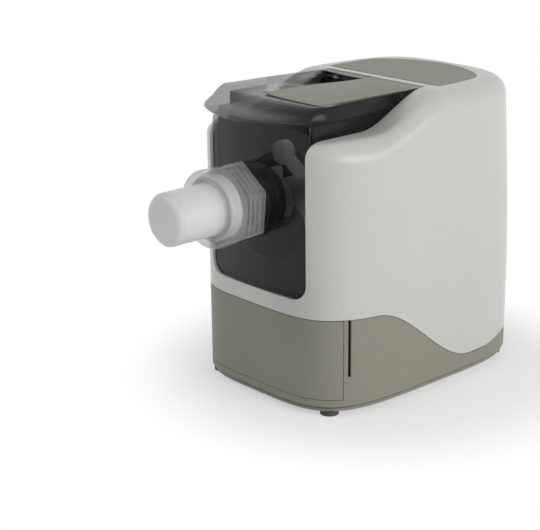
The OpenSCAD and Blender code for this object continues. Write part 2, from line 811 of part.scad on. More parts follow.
// ---- Lid ----
// The lid's contours from the hinge over the top to the lip's tip and back below: y in the
// middle, at the left and at the right end, height, and how much the left edge stands higher
lip_rows = [
    [shell_end_y, shell_end_y, shell_end_y, lid_top, 1], [-60, -60, -60, lid_top, 3.3],
    [-112, -112, -112, lid_top, 4.6], [-124, -121, -121, lid_top, 5],
    [-128, -124.2, -123, lid_top - 0.4, 4.7], [-132, -128, -125.4, lid_top - 1.4, 4],
    [-135.5, -131.2, -127.4, lid_top - 2.8, 3.5], [-138.5, -134, -129, lid_top - 4.6, 3.1],
    [-141.2, -136.2, -130, lid_top - 6.4, 2.8], [-145, -138.4, -131, lid_top - 7.6, 2.6],
    [-150.5, -141.2, -132, lid_top - 8.6, 2.3], [-157, -144.2, -133, lid_top - 9.7, 1.7],
    [-163, -146.8, -133.7, lid_top - 10.8, 1.1], [-166.8, -148, -134.2, lid_top - 12, 0.6],
    [-168.4, -148.2, -134.5, lid_top - 13.4, 0], [-167.4, -147.2, -134.8, lid_top - 14.4, 0],
    [-152, -141, -134.9, lid_skirt_z, 0], [-104, -104, -104, lid_skirt_z, 0],
    [shell_end_y, shell_end_y, shell_end_y, lid_skirt_z, 0]
];
lip_steps = 24;
function lip_pt(row, s) = [
    lid_half_w * s, mix(row[s < 0 ? 1 : 2], row[0], 1 - s * s), row[3] + row[4] * smooth(-2 * s - 0.9)
];

module lid_form() {
    n = len(lip_rows);
    points = [for (i = [0 : lip_steps], row = lip_rows) lip_pt(row, 2 * i / lip_steps - 1)];
    last = lip_steps * n;
    faces = concat(
        [for (i = [0 : lip_steps - 1], k = [0 : n - 1])
            let (
                a = i * n + k,
                b = i * n + (k + 1) % n
            )
            each [[a, b + n, b], [a, a + n, b + n]]],
        [[for (k = [0 : n - 1]) k], [for (k = [n - 1 : -1 : 0]) last + k]]
    );
    polyhedron(points = points, faces = faces, convexity = 6);
}

// The pouring opening is a triangle beside the plate: its far left and far right corner, a point
// on the plate's side, and its near corner. A ramp leads down to its slanting edge.
hole_left = [3 - lid_half_w, 5];
hole_right = [-4.5, 5];
hole_side = [-10, -22];
hole_near = [-18.5, -48];
ramp_start = [-24.6, -108];
ramp_tilt = 11;
module hole_plan(grow) {
    polygon([
        hole_left + [-grow, grow], hole_right + [grow, grow], hole_side + [grow, 0],
        hole_near + [grow, -2 * grow]
    ]);
}
module ramp_plan() {
    polygon([hole_left, hole_near, ramp_start, [3 - lid_half_w, -70]]);
}

// Everything above the ramp, tilted down towards the opening's slanting edge
module above_ramp(drop) {
    turn = atan2(hole_near[1] - hole_left[1], hole_near[0] - hole_left[0]);
    translate([hole_near[0], hole_near[1], lid_top - drop]) rotate(turn) {
        translate([0, -38, 7.4]) rotate([-ramp_tilt, 0, 0]) translate([-150, -20, 0]) cube([260, 80, 40]);
    }
}

module lid_shell() color(smoke) placed() difference() {
    lid_form();
    difference() {
        translate([-lid_half_w + 3, -118, lid_skirt_z - 5]) {
            cube([2 * lid_half_w - 6, shell_end_y - 2.8 + 118, lid_top - lid_skirt_z + 2]);
        }
        // funnel walls under the opening, and the ramp's floor
        translate([0, 0, lid_skirt_z - 1]) linear_extrude(30) hole_plan(2);
        difference() {
            translate([0, 0, lid_skirt_z - 1]) linear_extrude(30) ramp_plan();
            mirror([0, 0, 1]) translate([0, 0, -2 * lid_top + 21]) above_ramp(0);
        }
    }
    translate([0, 0, lid_skirt_z - 10]) linear_extrude(60) hole_plan(0);
    intersection() {
        translate([0, 0, lid_skirt_z]) linear_extrude(30) ramp_plan();
        above_ramp(7.4);
    }
    // seat of the grey plate
    translate([0, 0, lid_top - 1.2]) linear_extrude(10) plate_plan(0.3);
    bracket_slots();
}

// Room for the hinge brackets under the lid, also while it swings up
module bracket_slots() for (side = [-1, 1]) {
    translate([side * bracket_x - 3.4, hinge_y - 10, lid_skirt_z - 5]) {
        cube([6.8, 20, hinge_z + 3.9 - lid_skirt_z + 5]);
    }
}

module lid_hinge_barrel() color(smoke) placed() difference() {
    union() {
        translate([-lid_half_w, hinge_y, hinge_z]) rotate([0, 90, 0]) {
            cylinder(r = hinge_r, h = 2 * lid_half_w);
        }
        translate([-lid_half_w, shell_end_y, hinge_z]) {
            cube([2 * lid_half_w, lid_rear_y - shell_end_y, lid_top - hinge_z]);
        }
        translate([-lid_half_w, shell_end_y, lid_skirt_z]) {
            cube([2 * lid_half_w, hinge_y - shell_end_y, hinge_z - lid_skirt_z + 1]);
        }
    }
    translate([-lid_half_w - 1, shell_end_y - 10, lid_skirt_z - 5]) cube([2 * lid_half_w + 2, 10, 40]);
    translate([0, 0, lid_top - 1.2]) linear_extrude(10) plate_plan(0.3);
    for (side = [-1, 1]) translate([side * bracket_x - 16, hinge_y, hinge_z]) rotate([0, 90, 0]) {
        cylinder(r = 2 + run_gap, h = 32);
    }
    bracket_slots();
}

module hinge_pins() color(steel) placed() for (side = [-1, 1]) {
    translate([side * bracket_x - 14, hinge_y, hinge_z]) rotate([0, 90, 0]) {
        cylinder(r = 2, h = 28);
        translate([0, 0, 11]) cylinder(r = 3, h = 6);
    }
    translate([side * bracket_x - 3, hinge_y - 2.4, bowl_rim_z + 3.4]) {
        cube([6, 4.8, hinge_z - bowl_rim_z - 3.4]);
    }
}

module plate_plan(grow) {
    polygon([
        [hole_right[0] + 0.5 - grow, lid_rear_y + grow], hole_right + [0.5 - grow, 0],
        hole_side + [0.5 - grow, 0], hole_near + [0.5 - grow, 0], ramp_start + [0.5 - grow, 0],
        [-10 - grow / 2, -112 - grow], [10, -114.2 - grow], [34, -115 - grow],
        [58.5 + grow, -114.6 - grow], [64.6 + grow, 8], [64.6 + grow, lid_rear_y + grow]
    ]);
}

module lid_plate() color(grey) placed() {
    translate([0, 0, lid_top - 1.2]) linear_extrude(1.5) plate_plan(0);
}

module lid_magnet() color(steel) placed() translate([40, -4, lid_top - 9]) cylinder(r = 4, h = 5.8);

// ---- Drawer ----
module drawer_front() color(grey) placed() {
    difference() {
        ring_solid([
            level_loop(base_bottom, 0), wall_loop(0, -seam_gap),
            wall_loop(wall + 0.6, -seam_gap), level_loop(base_bottom, wall + 0.6)
        ]);
        translate([-body_w, drawer_edge_y - seam_gap / 2, 0]) cube([2 * body_w, body_d, body_h]);
        translate([-body_w, -body_d, 0]) cube([2 * body_w, body_d, drawer_sill + seam_gap / 2]);
    }
    for (side = [-1, 1]) translate([side * 50 - 8, -141.6, 34]) cube([16, 20.2, 44]);
}

tray_front = -121.4;
tray_back = 9;
module drawer_tray() color(grey) placed() difference() {
    translate([-84, tray_front, 25.4]) cube([168, tray_back - tray_front, 62]);
    translate([-82, tray_front + 2, 27.4]) cube([164, tray_back - tray_front - 4, 70]);
}

rubber_feet();
base_floor();
base_screws();
base_shell();
upper_shell();
control_panel();
control_board();
power_inlet();
inlet_pins();
power_board();
board_parts();
wiring();
chassis();
drawer_rails();
mixing_bowl();
bowl_gasket();
shaft_seal();
lid_sensor();
hinge_pins();
gearbox_case();
gearbox_cover();
gearbox_screws();
front_bearing();
rear_bearing();
idler_axle();
motor_can();
motor_end_cap();
motor_screws();
rotor_shaft();
motor_pinion();
cooling_fan();
idler_gear();
output_gear();
drive_shaft();
kneading_paddle();
extrusion_screw();
front_cover();
extrusion_barrel();
die_seal();
die_head();
clamp_nut();
lid_shell();
lid_hinge_barrel();
lid_plate();
lid_magnet();
drawer_front();
drawer_tray();
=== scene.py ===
"""Electric pasta maker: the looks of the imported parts.

White casing on a grey base with a drawer, a smoky window and lid over the mixing bowl, and a
milky die head held by a clear screw nut. The classes below work in millimetres about the
casing's middle, with the die head towards -Y and the table at z = 0, and put their meshes into
the shared frame in metres.
"""
import logging
import math
from dataclasses import dataclass, field
from enum import Enum
from typing import Optional, Sequence

import bmesh
import bpy
import numpy as np
from mathutils import Matrix, Vector


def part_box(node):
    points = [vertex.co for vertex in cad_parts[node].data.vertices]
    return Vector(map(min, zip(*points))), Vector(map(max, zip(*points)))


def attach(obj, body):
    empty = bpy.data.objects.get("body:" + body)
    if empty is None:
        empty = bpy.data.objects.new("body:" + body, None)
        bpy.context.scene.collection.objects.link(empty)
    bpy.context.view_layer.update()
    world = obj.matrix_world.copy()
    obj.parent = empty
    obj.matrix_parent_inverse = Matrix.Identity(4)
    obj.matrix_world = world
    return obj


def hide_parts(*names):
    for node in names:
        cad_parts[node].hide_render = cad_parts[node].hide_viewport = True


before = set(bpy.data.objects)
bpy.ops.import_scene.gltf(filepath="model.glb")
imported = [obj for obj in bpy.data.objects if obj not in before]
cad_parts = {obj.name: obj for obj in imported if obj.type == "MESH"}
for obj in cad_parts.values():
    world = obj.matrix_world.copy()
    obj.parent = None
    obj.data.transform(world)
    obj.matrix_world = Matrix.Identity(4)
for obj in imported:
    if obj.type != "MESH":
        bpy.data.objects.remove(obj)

LOG = logging.getLogger("pasta_maker")
MM = 0.001
SHAFT_FRONT = -116.0  # front end of the drive shaft, in millimetres from the casing's middle
SHAFT_HEIGHT = 202.0  # the shaft's axis above the table, in millimetres
MERGE = 0.004  # points closer than this are one, in millimetres
SLIVER = 0.002  # edges shorter than this are closed up, in millimetres
CAD_MERGE = 0.001  # the same for a CAD node's loose triangles
CLOSE = 0.01  # how near two sizes count as equal, in millimetres


class Slot(Enum):
    """Material slots of the record."""

    WHITE = "white_casing"
    GREY = "grey_casing"
    SMOKY = "smoky_plastic"
    CLEAR = "clear_plastic"
    MILKY = "milky_plastic"
    RUBBER = "rubber"
    BLACK = "black_plastic"
    FRAME = "frame_plastic"
    STEEL = "steel"
    GEARBOX = "gearbox_plastic"
    GEAR = "gear_plastic"
    BOARD = "circuit_board"
    COMPONENT = "board_parts"
    WIRE = "wire"


class Body(Enum):
    """Moving bodies of the machine."""

    HOUSING = "housing"
    COVER = "cover"
    DIE = "die"
    NUT = "nut"
    LID = "lid"
    DRAWER = "drawer"


# ---------------------------------------------------------------- numbers and colours


def linear(rgb: Sequence[float]) -> tuple[float, float, float, float]:
    """Turns a screen colour into the linear colour that shaders take.

    Args:
        rgb: red, green and blue from 0 to 255.

    Returns:
        Linear red, green and blue from 0 to 1, and an alpha of 1.
    """
    c = np.asarray(rgb, float) / 255.0
    lin = np.where(c <= 0.04045, c / 12.92, ((c + 0.055) / 1.055) ** 2.4)
    return (float(lin[0]), float(lin[1]), float(lin[2]), 1.0)


def ease(v: np.ndarray, start: float, end: float) -> np.ndarray:
    """Rises from 0 at start to 1 at end with level ends: 3s squared minus 2s cubed."""
    s = np.clip((v - start) / (end - start), 0.0, 1.0)
    return s * s * (3.0 - 2.0 * s)


def blend(a: np.ndarray, b: np.ndarray, s: np.ndarray) -> np.ndarray:
    """The value a share s of the way from a to b."""
    return a + (b - a) * s


def stations(marks: Sequence[float], step: float) -> np.ndarray:
    """Fills the gaps between given marks with evenly spaced values.

    Args:
        marks: rising values that must all be in the result.
        step: the widest gap wanted.

    Returns:
        The marks and the values between them, rising.
    """
    parts = [
        np.linspace(lo, hi, max(2, int(math.ceil((hi - lo) / step)) + 1))[:-1]
        for lo, hi in zip(marks[:-1], marks[1:])
    ]
    return np.concatenate(parts + [np.array([marks[-1]])])


def directions(count: int) -> np.ndarray:
    """Evenly spaced directions once round, in radians: 2 pi i / count."""
    return np.linspace(0.0, 2.0 * math.pi, count + 1)[:-1]


def quarter(count: int) -> np.ndarray:
    """Angles of a quarter turn, both ends among them."""
    return np.linspace(0.0, math.pi / 2, count)


def about_shaft(r: np.ndarray, a: np.ndarray, h: np.ndarray) -> np.ndarray:
    """Points about the shaft: x = r cos a, y = -h, z = shaft's height + r sin a.

    Args:
        r: distances from the axis, in millimetres.
        a: directions, in radians.
        h: reach in front of the casing's middle.

    Returns:
        Points, in the shape that r, a and h have together.
    """
    r, a, h = np.broadcast_arrays(r, a, h)
    return np.stack([r * np.cos(a), -h, SHAFT_HEIGHT + r * np.sin(a)], -1)


# ---------------------------------------------------------------- shader groups


SKIN_OUTPUTS = (("Height", "NodeSocketFloat"), ("Roughness", "NodeSocketFloat"))


def new_group(name: str, inputs: Sequence[tuple[str, str, float]],
              outputs: Sequence[tuple[str, str]]) -> bpy.types.NodeTree:
    """Makes an empty shader group with its sockets.

    Args:
        name: name of the group.
        inputs: name, socket type and starting value of each input.
        outputs: name and socket type of each output.

    Returns:
        The group, with its input and output nodes.
    """
    group = bpy.data.node_groups.new(name, "ShaderNodeTree")
    for label, kind, value in inputs:
        socket = group.interface.new_socket(name=label, in_out="INPUT", socket_type=kind)
        if kind == "NodeSocketFloat":
            socket.default_value = value
    for label, kind in outputs:
        group.interface.new_socket(name=label, in_out="OUTPUT", socket_type=kind)
    group.nodes.new("NodeGroupInput").name = "In"
    group.nodes.new("NodeGroupOutput").name = "Out"
    return group


def math_node(tree: bpy.types.NodeTree, operation: str, a: object, b: object) -> object:
    """Adds a Math node to a tree.

    Args:
        tree: the tree that the node goes into.
        operation: what the node works out.
        a: first value, a socket or a number.
        b: second value, a socket or a number.

    Returns:
        The node's output socket.
    """
    node = tree.nodes.new("ShaderNodeMath")
    node.operation = operation
    for i, value in enumerate((a, b)):
        if isinstance(value, (int, float)):
            node.inputs[i].default_value = value
        else:
            tree.links.new(value, node.inputs[i])
    return node.outputs[0]


def object_place(tree: bpy.types.NodeTree) -> object:
    """Adds a Texture Coordinate node and gives its Object socket."""
    return tree.nodes.new("ShaderNodeTexCoord").outputs["Object"]


def noise_node(tree: bpy.types.NodeTree, place: object, detail: float,
               scale: float = 1.0) -> bpy.types.Node:
    """Adds a noise.

    Args:
        tree: the tree that the node goes into.
        place: socket with the coordinates that it reads.
        detail: how many octaves it has.
        scale: patches in a metre, unless a socket feeds it.

    Returns:
        The node.
    """
    noise = tree.nodes.new("ShaderNodeTexNoise")
    noise.inputs["Detail"].default_value = detail
    noise.inputs["Scale"].default_value = scale
    tree.links.new(place, noise.inputs["Vector"])
    return noise


def swing_node(tree: bpy.types.NodeTree, value: object, amount: object, base: object) -> object:
    """Adds nodes that work out base + amount * (value - 0.5).

    Args:
        tree: the tree that the nodes go into.
        value: socket that runs from 0 to 1.
        amount: socket or number.
        base: socket or number.

    Returns:
        The last node's output socket.
    """
    swing = math_node(tree, "MULTIPLY", math_node(tree, "SUBTRACT", value, 0.5), amount)
    return math_node(tree, "ADD", swing, base)


class SurfaceGroups:
    """The shader groups that the materials share, each built once."""

    def __init__(self) -> None:
        """Builds the groups."""
        self.tone = self._tone()
        self.moulded = self._moulded()
        self.brushed = self._brushed()
        self.flowed = self._flowed()

    @staticmethod
    def _skin_outputs(group: bpy.types.NodeTree, height: object, roughness: object) -> None:
        """Links the two sockets that every skin group puts out."""
        group.links.new(height, group.nodes["Out"].inputs["Height"])
        group.links.new(roughness, group.nodes["Out"].inputs["Roughness"])

    @staticmethod
    def _tone() -> bpy.types.NodeTree:
        """Colour that varies a little in soft patches, as pigment does in a moulding.

        Returns:
            Group with Colour, Amount and Scale in and Colour out: the colour times
            1 + Amount * (noise - 0.5).
        """
        g = new_group("SoftTone",
                      [("Colour", "NodeSocketColor", 0), ("Amount", "NodeSocketFloat", 0.04),
                       ("Scale", "NodeSocketFloat", 14.0)],
                      [("Colour", "NodeSocketColor")])
        given = g.nodes["In"].outputs
        noise = noise_node(g, object_place(g), 3.0)
        g.links.new(given["Scale"], noise.inputs["Scale"])
        scale = g.nodes.new("ShaderNodeVectorMath")
        scale.operation = "SCALE"
        g.links.new(given["Colour"], scale.inputs[0])
        g.links.new(swing_node(g, noise.outputs["Fac"], given["Amount"], 1.0),
                    scale.inputs["Scale"])
        g.links.new(scale.outputs[0], g.nodes["Out"].inputs["Colour"])
        return g

    def _moulded(self) -> bpy.types.NodeTree:
        """Fine texture of moulded plastic, with roughness that wanders slightly.

        Returns:
            Group with Grain in 1/m, Roughness and Spread in, and Height and Roughness
            out: the roughness plus Spread * (noise - 0.5).
        """
        g = new_group("MouldedSkin",
                      [("Grain", "NodeSocketFloat", 1500.0), ("Roughness", "NodeSocketFloat", 0.4),
                       ("Spread", "NodeSocketFloat", 0.08)], SKIN_OUTPUTS)
        given = g.nodes["In"].outputs
        place = object_place(g)
        fine, wide = noise_node(g, place, 2.0), noise_node(g, place, 4.0, 35.0)
        g.links.new(given["Grain"], fine.inputs["Scale"])
        self._skin_outputs(g, fine.outputs["Fac"],
                           swing_node(g, wide.outputs["Fac"], given["Spread"],
                                      given["Roughness"]))
        return g

    def _brushed(self) -> bpy.types.NodeTree:
        """Fine turning marks of machined metal: close along the shaft, drawn out around it.

        Returns:
            Group with Roughness in, and Height and Roughness out: the roughness plus
            0.25 * (noise - 0.5).
        """
        g = new_group("TurnedMetal", [("Roughness", "NodeSocketFloat", 0.3)], SKIN_OUTPUTS)
        stretch = g.nodes.new("ShaderNodeMapping")
        stretch.inputs["Scale"].default_value = (60.0, 2600.0, 60.0)
        g.links.new(object_place(g), stretch.inputs["Vector"])
        lines = noise_node(g, stretch.outputs["Vector"], 2.0)
        self._skin_outputs(g, lines.outputs["Fac"],
                           swing_node(g, lines.outputs["Fac"], 0.25,
                                      g.nodes["In"].outputs["Roughness"]))
        return g

    def _flowed(self) -> bpy.types.NodeTree:
        """Faint cloudiness of a see-through moulding, in soft patches.

        Returns:
            Group with Roughness in, and Height and Roughness out: the roughness plus
            0.06 * noise.
        """
        g = new_group("ClearFlow", [("Roughness", "NodeSocketFloat", 0.05)], SKIN_OUTPUTS)
        noise = noise_node(g, object_place(g), 3.0, 55.0).outputs["Fac"]
        self._skin_outputs(g, noise, math_node(g, "ADD", math_node(g, "MULTIPLY", noise, 0.06),
                                               g.nodes["In"].outputs["Roughness"]))
        return g


# ---------------------------------------------------------------- finishes


class Texture(Enum):
    """Kinds of fine surface texture."""

    MOULDED = "moulded"
    TURNED = "turned"
    FLOWED = "flowed"


@dataclass(frozen=True)
class Finish:
    """The finish of one material slot.

    colour is a screen colour from 0 to 255, grain a texture size in 1/m and depth its height
    in millimetres. rim is how much the alpha grows where the surface is seen edge-on, as
    tinted plastic does, and shade the share of the alpha that also holds light back. bump is
    the texture's strength, and tone_scale its patches of colour in a metre.
    """

    name: str
    colour: tuple[float, float, float]
    roughness: float
    texture: Texture = Texture.MOULDED
    grain: float = 1500.0
    depth: float = 0.02
    tone: float = 0.05
    metallic: float = 0.0
    alpha: float = 1.0
    rim: float = 0.0
    shade: float = 1.0
    specular: float = 0.5
    ior: float = 1.5
    coat: float = 0.0
    coat_roughness: float = 0.08
    subsurface: float = 0.0
    subsurface_radius: tuple[float, float, float] = (0.006, 0.006, 0.005)
    rim_blend: float = 0.35
    tone_scale: float = 16.0
    bump: float = 0.6

    def material(self, groups: SurfaceGroups) -> bpy.types.Material:
        """Builds the material.

        Args:
            groups: the shared shader groups.

        Returns:
            The material, its colour, roughness and bump fed by the groups.
        """
        mat = bpy.data.materials.new(self.name)
        mat.use_nodes = True
        tree = mat.node_tree
        shader = tree.nodes["Principled BSDF"]
        for socket, value in (("Metallic", self.metallic), ("IOR", self.ior),
                              ("Alpha", self.alpha), ("Specular IOR Level", self.specular),
                              ("Coat Weight", self.coat), ("Coat Roughness", self.coat_roughness),
                              ("Subsurface Weight", self.subsurface)):
            shader.inputs[socket].default_value = value
        if self.rim:
            self._tint(tree, shader)
        if self.subsurface:
            shader.inputs["Subsurface Radius"].default_value = self.subsurface_radius
            shader.inputs["Subsurface Scale"].default_value = 1.0
        tone = tree.nodes.new("ShaderNodeGroup")
        tone.node_tree = groups.tone
        tone.inputs["Colour"].default_value = linear(self.colour)
        tone.inputs["Amount"].default_value = self.tone
        tone.inputs["Scale"].default_value = self.tone_scale
        tree.links.new(tone.outputs["Colour"], shader.inputs["Base Color"])
        skin = tree.nodes.new("ShaderNodeGroup")
        skin.node_tree = {Texture.MOULDED: groups.moulded, Texture.TURNED: groups.brushed,
                          Texture.FLOWED: groups.flowed}[self.texture]
        if self.texture is Texture.MOULDED:
            skin.inputs["Grain"].default_value = self.grain
        skin.inputs["Roughness"].default_value = self.roughness
        tree.links.new(skin.outputs["Roughness"], shader.inputs["Roughness"])
        bump = tree.nodes.new("ShaderNodeBump")
        bump.inputs["Strength"].default_value = self.bump
        bump.inputs["Distance"].default_value = self.depth * MM
        tree.links.new(skin.outputs["Height"], bump.inputs["Height"])
        tree.links.new(bump.outputs["Normal"], shader.inputs["Normal"])
        return mat

    def _tint(self, tree: bpy.types.NodeTree, shader: bpy.types.Node) -> None:
        """Makes the alpha (alpha + rim * facing) * (1 + (shade - 1) * shadow ray).

        Args:
            tree: the material's tree.
            shader: its Principled node.
        """
        facing = tree.nodes.new("ShaderNodeLayerWeight")
        facing.inputs["Blend"].default_value = self.rim_blend
        rise = math_node(tree, "MULTIPLY", facing.outputs["Facing"], self.rim)
        alpha = math_node(tree, "ADD", rise, self.alpha)
        path = tree.nodes.new("ShaderNodeLightPath")
        less = math_node(tree, "MULTIPLY", path.outputs["Is Shadow Ray"], self.shade - 1.0)
        share = math_node(tree, "ADD", less, 1.0)
        tree.links.new(math_node(tree, "MULTIPLY", alpha, share), shader.inputs["Alpha"])


FINISHES: dict[Slot, Finish] = {
    Slot.WHITE: Finish("WhiteCasing", (206, 207, 200), 0.30, depth=0.006, tone=0.03, grain=900),
    Slot.GREY: Finish("GreyCasing", (148, 146, 132), 0.5, depth=0.025, tone=0.05, grain=1800,
                      specular=0.2),
    Slot.SMOKY: Finish("SmokyPlastic", (24, 24, 22), 0.05, Texture.FLOWED, depth=0.004,
                       alpha=0.32, rim=0.55, shade=0.2, ior=1.49),
    Slot.CLEAR: Finish("ClearPlastic", (186, 188, 184), 0.03, Texture.FLOWED, depth=0.004,
                       alpha=0.16, rim=0.62, shade=0.3, ior=1.5),
    Slot.MILKY: Finish("MilkyPlastic", (226, 228, 224), 0.34, depth=0.012, grain=1200,
                       subsurface=0.25),
    Slot.RUBBER: Finish("GreyRubber", (74, 74, 70), 0.75, depth=0.05, grain=2500),
    Slot.BLACK: Finish("BlackPlastic", (26, 26, 27), 0.45, depth=0.03, grain=1800),
    Slot.FRAME: Finish("FramePlastic", (92, 94, 96), 0.5, depth=0.03, grain=1400),
    Slot.STEEL: Finish("TurnedSteel", (196, 197, 199), 0.28, Texture.TURNED, depth=0.01,
                       metallic=1.0),
    Slot.GEARBOX: Finish("GearboxPlastic", (136, 138, 142), 0.5, depth=0.03, grain=1400),
    Slot.GEAR: Finish("GearPlastic", (214, 202, 160), 0.45, depth=0.02, grain=1600),
    Slot.BOARD: Finish("CircuitBoard", (28, 92, 52), 0.4, depth=0.02, grain=2200, coat=0.3),
    Slot.COMPONENT: Finish("BoardParts", (196, 164, 62), 0.45, depth=0.02, grain=1800),
    Slot.WIRE: Finish("WireJacket", (150, 38, 28), 0.45, depth=0.02, grain=1500),
}


# ---------------------------------------------------------------- meshes


@dataclass
class Skin:
    """Faces gathered from grids of points, in millimetres about the casing's middle."""

    points: list[np.ndarray] = field(default_factory=list)
    faces: list[np.ndarray] = field(default_factory=list)
    count: int = 0

    def grid(self, p: np.ndarray, around: bool = False, closed: bool = False,
             keep: Optional[np.ndarray] = None) -> None:
        """Adds the quads between neighbouring points of a grid.

        Args:
            p: points, rows by columns by 3.
            around: whether the last column joins the first.
            closed: whether the last row joins the first.
            keep: which quads stay, rows by columns of quads, or None for all.
        """
        rows, cols = p.shape[:2]
        i = np.arange(rows if closed else rows - 1)[:, None]
        j = np.arange(cols if around else cols - 1)[None, :]
        up, right = (i + 1) % rows, (j + 1) % cols
        quads = np.stack([i * cols + j, i * cols + right, up * cols + right, up * cols + j], -1)
        quads = quads[keep] if keep is not None else quads.reshape(-1, 4)
        self.faces.append(quads + self.count)
        self.points.append(p.reshape(-1, 3))
        self.count += rows * cols


@dataclass
class Piece:
    """How one piece is finished and what it rides on.

    wall is the thickness added inwards, edge the rounding of its edges, both in millimetres,
    and inside a point that the outer faces look away from.
    """

    name: str
    body: Body
    slot: Slot
    stands_for: tuple[str, ...]
    wall: float = 0.0
    edge: float = 0.0
    inside: tuple[float, float, float] = (0.0, 0.0, 150.0)
    sharp: float = 35.0


class Workshop:
    """Makes the finished objects and keeps their materials."""

    def __init__(self, offset: float) -> None:
        """Sets up the materials.

        Args:
            offset: depth of the casing's middle in the shared frame, in millimetres.
        """
        self.offset = offset
        groups = SurfaceGroups()
        self.materials = {slot: f.material(groups) for slot, f in FINISHES.items()}

    def make(self, piece: Piece, skin: Skin) -> bpy.types.Object:
        """Turns gathered faces into a finished piece that rides on its body.

        Args:
            piece: name, body, finish and edges.
            skin: the faces, in millimetres.

        Returns:
            The new object.
        """
        points = (np.concatenate(skin.points) + np.array([0.0, self.offset, 0.0])) * MM
        mesh = bpy.data.meshes.new(piece.name)
        mesh.from_pydata(points.tolist(), [], np.concatenate(skin.faces).tolist())
        self._tidy(mesh, Vector(piece.inside) + Vector((0.0, self.offset, 0.0)))
        return self._place(piece, mesh)

    def smoothed(self, piece: Piece, node: str) -> bpy.types.Object:
        """Copies a CAD node, merges its points and smooths its shading.

        Args:
            piece: name, body and finish of the copy.
            node: name of the CAD node.

        Returns:
            The new object.
        """
        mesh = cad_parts[node].data.copy()
        mesh.name = piece.name
        bm = bmesh.new()
        bm.from_mesh(mesh)
        bmesh.ops.remove_doubles(bm, verts=bm.verts, dist=CAD_MERGE * MM)
        bm.to_mesh(mesh)
        bm.free()
        mesh.materials.clear()
        return self._place(piece, mesh)

    def _place(self, piece: Piece, mesh: bpy.types.Mesh) -> bpy.types.Object:
        """Makes a mesh an object with rounded edges, a material and its body.

        Args:
            piece: its name, edges, body, slot and the CAD nodes that it stands for.
            mesh: the mesh, in metres.

        Returns:
            The new object.
        """
        obj = bpy.data.objects.new(piece.name, mesh)
        bpy.context.collection.objects.link(obj)
        self._round(obj, piece)
        mesh.materials.append(self.materials[piece.slot])
        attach(obj, piece.body.value)
        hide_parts(*piece.stands_for)
        LOG.info("%s: %d faces", piece.name, len(mesh.polygons))
        return obj

    @staticmethod
    def _tidy(mesh: bpy.types.Mesh, inside: Vector) -> None:
        """Merges equal points and turns every face outwards.

        Args:
            mesh: the mesh, in metres.
            inside: point in millimetres that the outer faces look away from.
        """
        bm = bmesh.new()
        bm.from_mesh(mesh)
        bmesh.ops.remove_doubles(bm, verts=bm.verts, dist=MERGE * MM)
        bmesh.ops.dissolve_degenerate(bm, edges=bm.edges, dist=SLIVER * MM)
        bmesh.ops.recalc_face_normals(bm, faces=bm.faces)
        closed = all(not e.is_boundary for e in bm.edges)
        if closed:
            outward = bm.calc_volume(signed=True)
        else:
            centre = inside * MM
            outward = sum(f.calc_area() * f.normal.dot(f.calc_center_median() - centre)
                          for f in bm.faces)
        if outward < 0:
            bmesh.ops.reverse_faces(bm, faces=bm.faces)
        bm.to_mesh(mesh)
        bm.free()

    @staticmethod
    def _round(obj: bpy.types.Object, piece: Piece) -> None:
        """Adds the wall and the rounded edges, and smooths the shading.

        Args:
            obj: the object.
            piece: its wall, edge and the angle above which an edge is sharp.
        """
        obj.data.shade_smooth()
        if piece.wall:
            solid = obj.modifiers.new("Wall", "SOLIDIFY")
            solid.thickness = piece.wall * MM
            solid.offset = -1.0
        if piece.edge:
            bevel = obj.modifiers.new("Edge", "BEVEL")
            bevel.width = piece.edge * MM
            bevel.segments = 3
            bevel.limit_method = "ANGLE"
            bevel.angle_limit = math.radians(piece.sharp)
            bevel.harden_normals = True
        else:
            obj.data.set_sharp_from_angle(angle=math.radians(piece.sharp))


# ---------------------------------------------------------------- casing's outline


